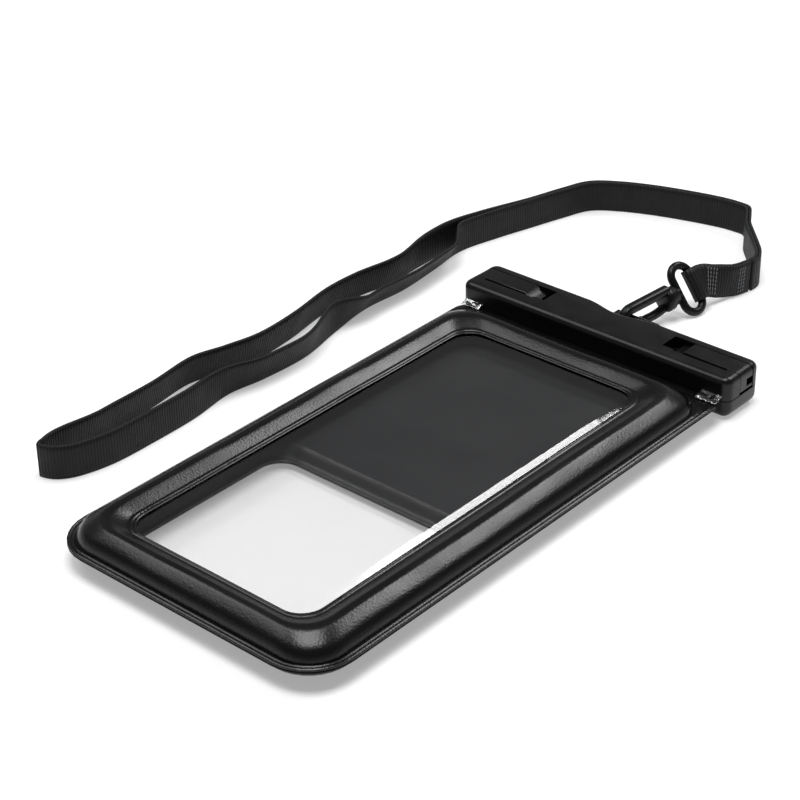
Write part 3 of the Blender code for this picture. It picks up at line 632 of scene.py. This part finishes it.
# %% The padded front rim
FLANGE_STEPS = [
    (0.0, 7.00), (0.02, 7.28), (0.18, 7.30), (0.30, 7.52), (0.42, 7.32), (0.60, 7.30), (0.74, 7.55),
    (0.88, 7.34),
]
RIM_STEPS = [
    (0.0, 7.35), (0.010, 8.1), (0.025, 8.85), (0.045, 9.55), (0.070, 10.2), (0.10, 10.8), (0.135, 11.3),
    (0.18, 11.78), (0.23, 12.25), (0.28, 12.68), (0.33, 13.08), (0.37, 13.38), (0.395, 13.54),
    (0.42, 13.64), (0.46, 13.70), (0.52, 13.72), (0.56, 13.67), (0.595, 13.52), (0.64, 13.22),
    (0.68, 12.95), (0.72, 12.67), (0.76, 12.38), (0.80, 12.08), (0.832, 11.85), (0.852, 11.72),
    (0.872, 11.78), (0.89, 11.95), (0.907, 12.0), (0.922, 11.85), (0.935, 11.66), (0.948, 11.72),
    (0.962, 11.78), (0.975, 11.68), (0.988, 11.6), (1.0, 11.45),
]


def swell(body, amount, size):
    """Lift each point a little by smooth noise, most on the shoulder and not at the welds."""
    for vert in body.verts:
        lift = max(0.0, vert.co.z - 0.0105) / 0.004
        vert.co.z += amount * min(1.0, lift) * noise.noise(vert.co / size)


rim_body = bridged(
    [(mixed(FLANGE, PUFF, share), height / 1000) for share, height in FLANGE_STEPS]
    + [(mixed(PUFF, WINDOW, share), height / 1000) for share, height in RIM_STEPS]
)
swell(rim_body, 0.0005, 0.022)
front_rim = piece_from("padded_front_rim", rim_body, film, sharp=60)
add_thickness(front_rim, 0.0003, offset=-1.0)
hand_over(front_rim, "black_film", "pouch", "front_panel", "front_rim_foam")

# %% [markdown]
# ## The clear front window
# The window is one sheet, welded under the rim. The air in the pouch lifts its middle by about a
# millimetre, and it comes down to the weld steeply on one long side and gently on the other. It also
# waves a little, and near the welds it is pulled into small creases. A fine grid takes all three.

# %% The clear front window
def window_grid(half_width, near, far, height, columns, rows):
    body = bmesh.new()
    bmesh.ops.create_grid(body, x_segments=columns, y_segments=rows, size=0.5, calc_uvs=True)
    for vert in body.verts:
        vert.co = Vector((vert.co.x * 2 * half_width, at(near + (far - near) * (vert.co.y + 0.5)), height))
    return body


def crowned(body, half_width, near, far, lift):
    """Lift a sheet's middle; each side comes down to its weld over its own width."""
    for vert in body.verts:
        height = lift
        for gap, width in (
            (half_width - vert.co.x, 0.0030), (half_width + vert.co.x, 0.030),
            (vert.co.y - at(near), 0.036), (at(far) - vert.co.y, 0.030),
        ):
            share = min(1.0, max(0.0, gap / width))
            height *= sin(pi / 2 * share)
        vert.co.z += height


def wave_sheet(body, half_width, near, far, wave, crease):
    for vert in body.verts:
        edge = min(half_width - abs(vert.co.x), vert.co.y - at(near), at(far) - vert.co.y)
        inside = min(1.0, max(0.0, edge / 0.012))
        close = max(0.0, 1 - edge / 0.014)
        soft = noise.noise(Vector((vert.co.x * 26, vert.co.y * 14, 3.0)))
        ridge = 1 - abs(noise.noise(Vector((vert.co.x * 95, vert.co.y * 95, 8.0)))) * 2
        vert.co.z += inside * wave * soft + inside * close * crease * ridge ** 3


front_sheet_body = window_grid(0.0396, 0.0130, 0.1784, 0.01105, 84, 172)
crowned(front_sheet_body, 0.0366, 0.0160, 0.1754, 0.0013)
wave_sheet(front_sheet_body, 0.0368, 0.0158, 0.1756, 0.00022, 0.00018)
front_sheet = piece_from("clear_front_sheet", front_sheet_body, window_sheet)
add_thickness(front_sheet, 0.0003, offset=-1.0)
hand_over(front_sheet, "clear_sheet", "pouch", "front_window")

# %% [markdown]
# ## Clear film at the clamp's corners
# The pouch's clear lining is a little wider than its neck, and the clamp pinches it. At both corners
# a few millimetres stick out, crumpled and silvery. Each is a small grid that rises from the neck to
# the clamp, with sharp folds from a fine noise.

# %% Clear film at the clamp's corners
def lining_corner(side, inner, outer, front, rear, lift):
    body = bmesh.new()
    bmesh.ops.create_grid(body, x_segments=14, y_segments=10, size=0.5, calc_uvs=True)
    for vert in body.verts:
        across, along = vert.co.x + 0.5, vert.co.y + 0.5
        fold = noise.noise(Vector((across * 3.4, along * 1.6, 5.0 + side)))
        taper = 1 - 0.55 * across * (1 - along)
        place = Vector((side * (inner + (outer - inner) * across), at(front + (rear - front) * along), 0))
        place.z = 0.0076 + lift * along * taper + 0.0006 * abs(fold)
        vert.co = place
    return body


for side, word, front in ((1, "right", 0.1925), (-1, "left", 0.1940)):
    corner = lining_corner(side, 0.0465, 0.0545, front, 0.1972, 0.0013)
    flap = piece_from(f"{word}_lining_corner", corner, crinkled_sheet, sharp=12)
    add_thickness(flap, 0.0002)
    hand_over(flap, "clear_sheet", "pouch")

# %% [markdown]
# ## The back
# The back film is dished over a pad and has an opening for the phone's camera, with clear sheet
# welded inside it. Seen from above through the front window, the pad's top is a dark floor with a
# soft step down to the clear part.

# %% The back
def drawn_in(amount):
    """The padded outline drawn in by an amount."""
    radius = max(0.0132 - amount, 0.004)
    return (0.0522 - amount, 0.0028 + amount, 0.1903 - amount, radius, radius)


def dish(amount):
    """The back film's outline drawn in by an amount: its corners are drawn in further."""
    radius = 0.0132 + 0.6 * amount
    return (0.0522 - amount, 0.0028 + amount, 0.1903 - amount, radius, radius)


def camera_opening(margin):
    """The outline of the clear part, larger by a margin."""
    radius = 0.0085 + margin / 2
    return (0.040 + margin, 0.015 - margin, 0.085 + margin, radius, radius)


BACK_CURVE = [(0.0, 0.0), (0.05, 0.32), (0.10, 0.50), (0.20, 0.68), (0.32, 0.80), (0.62, 0.95), (1.0, 0.998)]
back_steps = [(FLANGE, 0.0067), (FLANGE, 0.0063)]
back_steps += [(dish(0.0062 * share), 0.0063 * (1 - drop)) for share, drop in BACK_CURVE]
back_steps += spread_out(dish(0.0062), camera_opening(0.0030), 0.00002, 0.0, 6)
back_steps += [
    (camera_opening(0.0030), 0.0), (camera_opening(0.0020), 0.0001), (camera_opening(0.0012), 0.0009),
    (camera_opening(0.0), 0.0010), (camera_opening(0.0), 0.0014),
]
back_film = piece_from("black_back_film", bridged(back_steps), film, sharp=60)
add_thickness(back_film, 0.0003, offset=-1.0)
hand_over(back_film, "black_film", "pouch", "back_panel")

PAD_RIM = [(drawn_in(0.0012), 6.4), (drawn_in(0.0035), 5.9), (drawn_in(0.0062), 5.6)]
PAD_STEP = [
    (camera_opening(0.0055), 5.65), (camera_opening(0.0049), 5.75), (camera_opening(0.0043), 5.7),
    (camera_opening(0.0036), 5.3), (camera_opening(0.0027), 4.4), (camera_opening(0.0016), 3.2),
    (camera_opening(0.0008), 2.5), (camera_opening(0.0), 2.35), (camera_opening(-0.0012), 2.3),
]
pad_floor = spread_out(drawn_in(0.0062), camera_opening(0.0055), 5.6, 5.65, 6)
lining_body = bridged([(sizes, height / 1000) for sizes, height in PAD_RIM + pad_floor + PAD_STEP])
lining = piece_from("padded_back_lining", lining_body, inner_film, sharp=60)
add_thickness(lining, 0.0003, offset=-1.0)
hand_over(lining, "black_film", "pouch", "back_pad")

camera_body = window_grid(0.0395, 0.0155, 0.0845, 0.00165, 60, 56)
wave_sheet(camera_body, 0.0395, 0.0155, 0.0845, 0.00008, 0.0)
camera_sheet = piece_from("clear_camera_sheet", camera_body, window_sheet)
add_thickness(camera_sheet, 0.0003, offset=1.0)
hand_over(camera_sheet, "clear_sheet", "pouch", "camera_window")

# %% [markdown]
# ## The clamp's bars
# Both bars are moulded. The upper one has a shallow scoop in its rear edge for a thumb. The outline
# is a one-square grid: its rear edge is divided and pressed in, the corners are bevelled, and the
# face is extruded upwards. A bevel then rounds the top, or the foot of the lower bar.

# %% The clamp's bars
HALF_CLAMP, CLAMP_FRONT, CLAMP_REAR = 0.0566, 0.1968, 0.2160
CLAMP_TOP, LOWER_TOP, UPPER_BOTTOM = 0.0150, 0.00665, 0.00695
SCOOP_WIDTH, SCOOP_DEPTH = 0.028, 0.0024


def bar(low, high, scoop, rounded_height, radius, steps):
    """A clamp bar: outline, scoop, corners, extrusion and one rounded rim."""
    body = bmesh.new()
    corners = bmesh.ops.create_grid(body, x_segments=1, y_segments=1, size=0.5)["verts"]
    for vert in corners:
        length = CLAMP_FRONT + (CLAMP_REAR - CLAMP_FRONT) * (vert.co.y + 0.5)
        vert.co = Vector((vert.co.x * 2 * HALF_CLAMP, at(length), low))
    round_off(body, corners, 0.0034, 8)
    rear = [edge for edge in body.edges if edge.calc_length() > 0.05]
    rear = max(rear, key=lambda edge: edge.verts[0].co.y)
    bmesh.ops.subdivide_edges(body, edges=[rear], cuts=95)
    for vert in body.verts:
        if scoop and abs(vert.co.x) < SCOOP_WIDTH / 2 and vert.co.y > at(CLAMP_REAR) - 1e-5:
            vert.co.y -= scoop * (1 + cos(2 * pi * vert.co.x / SCOOP_WIDTH)) / 2
    push_out(body, list(body.faces), (0, 0, high - low))
    rim = [edge for edge in body.edges if all(abs(v.co.z - rounded_height) < 1e-6 for v in edge.verts)]
    round_off(body, rim, radius, steps, "EDGES")
    return body


def cut_box(name, low, high, rounding=0.0):
    """A hidden box that cuts another piece."""
    body = bmesh.new()
    bmesh.ops.create_cube(body, size=1.0)
    size = Vector(high) - Vector(low)
    bmesh.ops.scale(body, vec=size, verts=body.verts)
    bmesh.ops.translate(body, vec=(Vector(low) + Vector(high)) / 2, verts=body.verts)
    if rounding:
        round_off(body, list(body.edges), rounding, 3, "EDGES")
    return piece_from(name, body, clamp_plastic)


def cut_away(target, cutters, operation="DIFFERENCE"):
    """Cut the boxes out of the target, keep the result as its mesh and remove the boxes."""
    for cutter in cutters:
        step = target.modifiers.new("cut", "BOOLEAN")
        step.operation = operation
        step.object = cutter
        step.solver = "EXACT"
    settle(target)
    for cutter in cutters:
        bpy.data.objects.remove(cutter, do_unlink=True)


def settle(piece):
    """Make what the modifiers show the piece's own mesh."""
    graph = bpy.context.evaluated_depsgraph_get()
    graph.update()
    made = bpy.data.meshes.new_from_object(piece.evaluated_get(graph), depsgraph=graph)
    piece.modifiers.clear()
    piece.data = made


def soften(piece, width, angle=50):
    """A small bevel on every sharp edge, because moulded edges are never quite sharp."""
    edge = piece.modifiers.new("soft_edges", "BEVEL")
    edge.width = width
    edge.segments = 2
    edge.limit_method = "ANGLE"
    edge.angle_limit = radians(angle)
    edge.harden_normals = True
    settle(piece)


upper_body = bar(UPPER_BOTTOM, CLAMP_TOP, SCOOP_DEPTH, CLAMP_TOP, 0.0022, 6)
upper_bar = piece_from("upper_bar", upper_body, clamp_plastic)
lower_bar = piece_from("lower_bar", bar(0.0, LOWER_TOP, 0, 0.0, 0.0036, 6), clamp_plastic)

# %% [markdown]
# ## The latch levers
# Each lever lies in a slot in the upper bar and turns on a steel pin. The slot, the finger pit at
# its inner end and the pin's notch are cut with Boolean steps. The lever itself is a side profile,
# extruded across its width: a thin tongue, a scooped tip for the nail and a claw below the pin.

# %% The latch levers
LATCH_FRONT, LATCH_REAR = 0.2042, 0.2115
LATCH_INNER, PIVOT_PLACE, PIVOT_HEIGHT = 0.0290, 0.0543, 0.0100
TONGUE, GAP = 0.0026, 0.0003
CLAW_WIDTH, CLAW_FOOT = 0.0033, 0.0056


def slot_cutters(side):
    def ordered(a, b):
        return min(side * a, side * b), max(side * a, side * b)
    front, rear = at(LATCH_FRONT) - GAP, at(LATCH_REAR) + GAP
    boxes = []
    for name, inner, outer, floor, wider in (
        ("tongue_slot", LATCH_INNER + 0.0008, HALF_CLAMP + 0.002, CLAMP_TOP - TONGUE - GAP, 0.0),
        ("nail_groove", LATCH_INNER + 0.0008, PIVOT_PLACE - 0.0030, CLAMP_TOP - 0.0015, 0.0009),
        ("finger_pit", LATCH_INNER - 0.0038, LATCH_INNER + 0.0012, CLAMP_TOP - 0.0042, 0.0),
        ("pivot_slot", PIVOT_PLACE - 0.0061, HALF_CLAMP + 0.002, UPPER_BOTTOM - 0.001, 0.0),
    ):
        x0, x1 = ordered(inner, outer)
        boxes.append(cut_box(name, (x0, front - wider, floor), (x1, rear, CLAMP_TOP + 0.002)))
    return boxes


def lever(side):
    top, floor = CLAMP_TOP, CLAMP_TOP - TONGUE
    end = HALF_CLAMP - 0.0001
    profile = [
        (LATCH_INNER, floor + 0.0005), (LATCH_INNER + 0.0018, floor + 0.0008),
        (LATCH_INNER + 0.0034, floor + 0.0014), (LATCH_INNER + 0.0046, top),
        (end, top), (end, UPPER_BOTTOM + 0.0006), (PIVOT_PLACE + 0.0009, UPPER_BOTTOM + 0.0003),
        (PIVOT_PLACE - 0.0020, UPPER_BOTTOM + 0.0003), (PIVOT_PLACE - 0.0023, PIVOT_HEIGHT + 0.0008),
        (PIVOT_PLACE - 0.0040, floor), (LATCH_INNER, floor),
    ]
    body = bmesh.new()
    corners = [body.verts.new((side * x, at(LATCH_FRONT), z)) for x, z in profile]
    face = body.faces.new(corners)
    crown = [v for v in corners if abs(v.co.z - top) < 1e-6 and abs(abs(v.co.x) - end) < 1e-6]
    round_off(body, crown, 0.0022, 6)
    push_out(body, list(body.faces), (0, LATCH_REAR - LATCH_FRONT, 0))
    return body


def claw(side):
    """The narrow claw in the middle of the lever's width, which reaches into the lower bar."""
    x0, x1 = sorted((side * (PIVOT_PLACE - 0.0015), side * (PIVOT_PLACE + 0.0007)))
    middle = at((LATCH_FRONT + LATCH_REAR) / 2)
    low = (x0, middle - CLAW_WIDTH / 2, CLAW_FOOT)
    return cut_box("claw", low, (x1, middle + CLAW_WIDTH / 2, PIVOT_HEIGHT), 0.0002)


def pin(side):
    body = bmesh.new()
    length = LATCH_REAR - LATCH_FRONT + 0.0056
    place = Matrix.Translation((side * PIVOT_PLACE, at((LATCH_FRONT + LATCH_REAR) / 2), PIVOT_HEIGHT))
    bmesh.ops.create_cone(
        body, cap_ends=True, segments=24, radius1=0.0008, radius2=0.0008, depth=length,
        matrix=place @ Matrix.Rotation(pi / 2, 4, "X"),
    )
    return body


levers = {}
for side, word in ((1, "right"), (-1, "left")):
    cut_away(upper_bar, slot_cutters(side))
    levers[word] = piece_from(f"{word}_latch_lever", lever(side), clamp_plastic)
    cut_away(levers[word], [claw(side)], "UNION")
    x0, x1 = sorted((side * (PIVOT_PLACE - 0.0001), side * (HALF_CLAMP + 0.001)))
    notch = cut_box(
        "notch", (x0, at(0.20785 + 0.0003), PIVOT_HEIGHT - 0.0013),
        (x1, at(LATCH_REAR) + 0.001, PIVOT_HEIGHT + 0.0013),
    )
    cut_away(levers[word], [notch])
    soften(levers[word], 0.0002)
    hand_over(levers[word], "clamp_plastic", f"{word}_lever", f"latch_{word}")
    steel_pin = piece_from(f"{word}_pivot_pin", pin(side), pin_steel)
    hand_over(steel_pin, "pin_steel", "clamp_top", f"latch_pin_{word}")
soften(upper_bar, 0.00025)
hand_over(upper_bar, "clamp_plastic", "clamp_top", "upper_clamp_bar")

# %% [markdown]
# ## The lower bar's lug
# Behind the lower bar a small bridge holds the hook: two arms and a round cross bar. The arms are
# boxes with bevelled edges, joined to the bar, and the cross bar is a bevelled cylinder.

# %% The lower bar's lug
LUG_BAR_PLACE, LUG_HEIGHT, LUG_RADIUS = 0.2254, 0.0065, 0.0015
POCKET_FLOOR, ABOVE_LOWER_BAR = 0.0035, 0.009
claws = []
for side in (1, -1):
    x0, x1 = sorted((side * (PIVOT_PLACE - 0.0053), side * (PIVOT_PLACE + 0.0012)))
    low = (x0, at(LATCH_FRONT) - GAP, POCKET_FLOOR)
    claws.append(cut_box("claw_pocket", low, (x1, at(LATCH_REAR) + 0.0009, ABOVE_LOWER_BAR)))
low, high = (-0.0493, at(0.1992), 0.00495), (0.0493, at(0.2025), ABOVE_LOWER_BAR)
claws.append(cut_box("seal_groove", low, high))
cut_away(lower_bar, claws)
arms = []
for side in (1, -1):
    x0, x1 = sorted((side * 0.0060, side * 0.0086))
    low = (x0, at(CLAMP_REAR) - 0.002, LUG_HEIGHT - LUG_RADIUS)
    high = (x1, at(LUG_BAR_PLACE) + 0.0004, LUG_HEIGHT + LUG_RADIUS)
    arms.append(cut_box("lug_arm", low, (high[0], high[1], 0.0064)))
    top_low = (x0, at(CLAMP_REAR) + 0.0005, 0.0060)
    arms.append(cut_box("lug_arm_top", top_low, high))
cross = bmesh.new()
bmesh.ops.create_cone(
    cross, cap_ends=True, segments=32, radius1=LUG_RADIUS, radius2=LUG_RADIUS, depth=0.0172,
    matrix=Matrix.Translation((0, at(LUG_BAR_PLACE), LUG_HEIGHT)) @ Matrix.Rotation(pi / 2, 4, "Y"),
)
arms.append(piece_from("lug_cross_bar", cross, clamp_plastic))
cut_away(lower_bar, arms, "UNION")
soften(lower_bar, 0.0003)
hand_over(lower_bar, "clamp_plastic", "pouch", "lower_clamp_bar")

# %% [markdown]
# ## The snap hook
# The hook is moulded in one piece: a straight back limb, a round bend over the lug's bar and a
# short nose. That is how it is drawn here too. An oval section is extruded along the limb, spun half
# a turn round the bar and extruded again. The barrel that holds the swivel is a stepped cylinder.

# %% The snap hook
LIMB_HEIGHT = 0.00375
BARREL_FRONT, BARREL_LENGTH, BARREL_RADIUS = 0.0162, 0.0062, 0.0045
GATE_PIVOT = Vector((0, 0.0168, -0.00305))
hook_place = Matrix.Translation(HOOK_PLACE) @ HOOK_TURN.to_4x4()


def section(body, centre, half_wide, half_high, normal, wide, squareness=0.78, sides=20):
    """A rounded oval face, ready to be extruded along its normal."""
    made = bmesh.ops.create_circle(body, cap_ends=True, segments=sides, radius=1.0)["verts"]
    high = normal.cross(wide)
    for vert in made:
        a = abs(vert.co.x) ** squareness * (1 if vert.co.x > 0 else -1)
        b = abs(vert.co.y) ** squareness * (1 if vert.co.y > 0 else -1)
        vert.co = centre + wide * a * half_wide + high * b * half_high
    return list({face for vert in made for face in vert.link_faces})


def extend(body, faces, way, steps=1):
    """Extrude a section along a straight way."""
    for _ in range(steps):
        made = push_out(body, faces, way / steps)
        bmesh.ops.delete(body, geom=faces, context="FACES_ONLY")
        faces = [item for item in made if isinstance(item, bmesh.types.BMFace)]
    return faces


def close_start(body):
    """Fill the open end that the first extrusion leaves."""
    bmesh.ops.holes_fill(body, edges=[edge for edge in body.edges if edge.is_boundary], sides=0)


def turn_round(body, faces, centre, axis, angle, steps):
    """Spin a section about an axis."""
    made = bmesh.ops.spin(
        body, geom=faces, cent=centre, axis=axis, dvec=(0, 0, 0), angle=angle, steps=steps,
        use_duplicate=False,
    )["geom_last"]
    bmesh.ops.delete(body, geom=faces, context="FACES_ONLY")
    return [item for item in made if isinstance(item, bmesh.types.BMFace)]


def hook_limbs():
    body = bmesh.new()
    wide = Vector((1, 0, 0))
    start = Vector((0, BARREL_FRONT + 0.0020, LIMB_HEIGHT))
    faces = section(body, start, 0.0020, 0.0018, Vector((0, -1, 0)), wide)
    faces = extend(body, faces, Vector((0, -start.y, 0)), 6)
    faces = turn_round(body, faces, (0, 0, 0), (1, 0, 0), pi, 18)
    extend(body, faces, Vector((0, 0.0062, 0)), 3)
    close_start(body)
    body.transform(hook_place)
    return body


def turned(body, profile, axis_turn, sides=40):
    """Spin a half profile of (radius, length) points round the hook's axis."""
    verts = [body.verts.new((radius, length, 0)) for radius, length in profile]
    edges = [body.edges.new(pair) for pair in zip(verts, verts[1:])]
    bmesh.ops.spin(
        body, geom=verts + edges, cent=(0, 0, 0), axis=(0, 1, 0), dvec=(0, 0, 0), angle=2 * pi,
        steps=sides, use_merge=True, use_duplicate=False,
    )
    bmesh.ops.remove_doubles(body, verts=body.verts, dist=1e-6)
    body.transform(axis_turn)


def barrel():
    body = bmesh.new()
    f, r = BARREL_FRONT, BARREL_RADIUS
    end = f + BARREL_LENGTH
    turned(body, [
        (0.0, f), (r - 0.0010, f), (r - 0.0003, f + 0.0003), (r, f + 0.0010), (r, f + 0.0030),
        (r - 0.0002, f + 0.0034), (r - 0.0007, f + 0.0036), (r - 0.0008, f + 0.0040),
        (r - 0.0008, end - 0.0008), (r - 0.0011, end - 0.0003), (r - 0.0017, end), (0.0017, end),
        (0.0017, end - 0.0018), (0.0, end - 0.0018),
    ], hook_place)
    return body


hook = piece_from("hook_limbs", hook_limbs(), hook_plastic, sharp=60)
soften(hook, 0.0002, angle=60)
hook_barrel = piece_from("hook_barrel", barrel(), hook_plastic, sharp=50)
for part in (hook, hook_barrel):
    hand_over(part, "clamp_plastic", "hook", "snap_hook")

# %% [markdown]
# ## The gate and the swivel eye
# The sprung gate closes the hook from nose to barrel. The eye is an oval ring: a round section is
# spun half a turn, extruded, spun again and extruded back to its start. Its stem goes into the
# barrel, where a head keeps it.

# %% The gate and the swivel eye
def gate_body():
    body = bmesh.new()
    tip = 0.0068 - GATE_PIVOT.y
    drop = -LIMB_HEIGHT - GATE_PIVOT.z
    path = [(1.0, 1.0), (0.8, 1.05), (0.5, 1.1), (0.2, 0.55), (0.06, 0.1), (-0.05, -0.15)]
    points = [GATE_PIVOT + Vector((0, tip * share, drop * rise)) for share, rise in path]
    line = smooth_line(points, 0.0008)
    wide = Vector((1, 0, 0))
    faces = section(body, line[0], 0.0017, 0.0014, (line[1] - line[0]).normalized(), wide)
    for one, two in zip(line, line[1:]):
        faces = extend(body, faces, two - one)
    close_start(body)
    body.transform(hook_place)
    return body


def eye_body():
    body = bmesh.new()
    centre = Vector((0, EYE_MIDDLE, 0))
    long_side = Vector((sin(EYE_TILT), 0, cos(EYE_TILT)))
    axis = long_side.cross(Vector((0, 1, 0)))
    wire = EYE_WIRE / 2
    half_depth = EYE_DEPTH / 2 - wire
    straight = EYE_LENGTH / 2 - wire - half_depth
    start = centre + Vector((0, half_depth, 0)) - long_side * straight
    faces = section(body, start, wire, wire, long_side, Vector((0, 1, 0)), squareness=1.0)
    faces = extend(body, faces, long_side * 2 * straight, 6)
    faces = turn_round(body, faces, centre + long_side * straight, axis, -pi, 20)
    faces = extend(body, faces, -long_side * 2 * straight, 6)
    faces = turn_round(body, faces, centre - long_side * straight, axis, -pi, 20)
    bmesh.ops.delete(body, geom=faces, context="FACES_ONLY")
    bmesh.ops.remove_doubles(body, verts=body.verts, dist=2e-5)
    body.transform(hook_place)
    return body


def stem_body():
    body = bmesh.new()
    start = BARREL_FRONT + BARREL_LENGTH - 0.0030
    end = EYE_MIDDLE - EYE_DEPTH / 2 + EYE_WIRE / 2
    turned(body, [
        (0.0, start), (0.0014, start), (0.0014, end - 0.0016), (0.0020, end - 0.0009), (0.0021, end),
        (0.0, end),
    ], hook_place, sides=24)
    return body


gate = piece_from("hook_gate_tongue", gate_body(), hook_plastic, sharp=60)
hand_over(gate, "clamp_plastic", "gate", "hook_gate")
eye = piece_from("swivel_ring", eye_body(), hook_plastic, sharp=60)
stem = piece_from("swivel_stem", stem_body(), hook_plastic, sharp=60)
for part in (eye, stem):
    hand_over(part, "clamp_plastic", "eye", "swivel_eye")
nodes["seal_strip"].data.materials.clear()
nodes["seal_strip"].data.materials.append(seal_rubber)

# %% [markdown]
# ## Floor and light
# The object lies on a white table whose rim turns up far away, like a studio's paper sweep. Part of
# the white is the table's own glow, so that the shadow stays a soft grey. One soft box hangs behind
# the object and draws the bright lines on the edges that face right, a second one at the left lights
# the slopes that face the camera, and a third one overhead keeps the shadow close to the object.

# %% Floor and light
SHADOW_GREY = 0.34
SWEEP_RADIUS, SWEEP_HEIGHT = 14.0, 3.5


def table_white():
    look = new_material("matt_white_table")
    path = add(look, "LightPath").outputs
    seen = add(look, "Math", {0: path["Is Camera Ray"], 1: path["Is Glossy Ray"]}, operation="MAXIMUM")
    seen = add(look, "Math", {0: seen.outputs[0], 1: path["Is Transmission Ray"]}, operation="MAXIMUM")
    share = ramp(look, seen.outputs[0], 0.0, 1.0, 0.0, SHADOW_GREY)
    paper = add(look, "BsdfDiffuse", Color=colour("#fbfbfb"))
    light = add(look, "Emission", Color=colour("#ffffff"), Strength=1.0)
    mix = add(look, "MixShader", {0: share, 1: paper.outputs["BSDF"], 2: light.outputs["Emission"]})
    add(look, "OutputMaterial", {"Surface": mix.outputs["Shader"]})
    return look


def table():
    """A large disc whose rim is extruded upwards and rounded."""
    body = bmesh.new()
    bmesh.ops.create_circle(body, cap_ends=True, segments=96, radius=SWEEP_RADIUS)
    bmesh.ops.translate(body, verts=body.verts, vec=(0, 0, -0.0002))
    rim = list(body.edges)
    made = bmesh.ops.extrude_edge_only(body, edges=rim)["geom"]
    raised = [item for item in made if isinstance(item, bmesh.types.BMVert)]
    bmesh.ops.translate(body, verts=raised, vec=(0, 0, SWEEP_HEIGHT))
    return piece_from("table", body, table_white())


def soft_box(name, place, aim, size, power):
    data = bpy.data.lights.new(name, "AREA")
    data.shape = "RECTANGLE"
    data.size, data.size_y = size
    data.energy = power
    lamp = bpy.data.objects.new(name, data)
    lamp.location = place
    lamp.rotation_euler = (Vector(aim) - Vector(place)).to_track_quat("-Z", "Y").to_euler()
    bpy.context.collection.objects.link(lamp)
    return lamp


table()
soft_box("back_box", (0.12, 0.97, 1.14), (0, 0.02, 0), (0.8, 0.36), 10)
soft_box("left_box", (-0.91, -0.20, 1.30), (0, 0.02, 0), (0.9, 0.6), 7)
soft_box("top_box", (-0.05, -0.05, 1.5), (0, 0.02, 0), (0.7, 0.7), 17)
world = bpy.data.worlds.new("dim_studio")
world.use_nodes = True
world.node_tree.nodes["Background"].inputs["Color"].default_value = colour("#ffffff")
world.node_tree.nodes["Background"].inputs["Strength"].default_value = 0.15
bpy.context.scene.world = world
bpy.context.scene.view_settings.view_transform = "Standard"
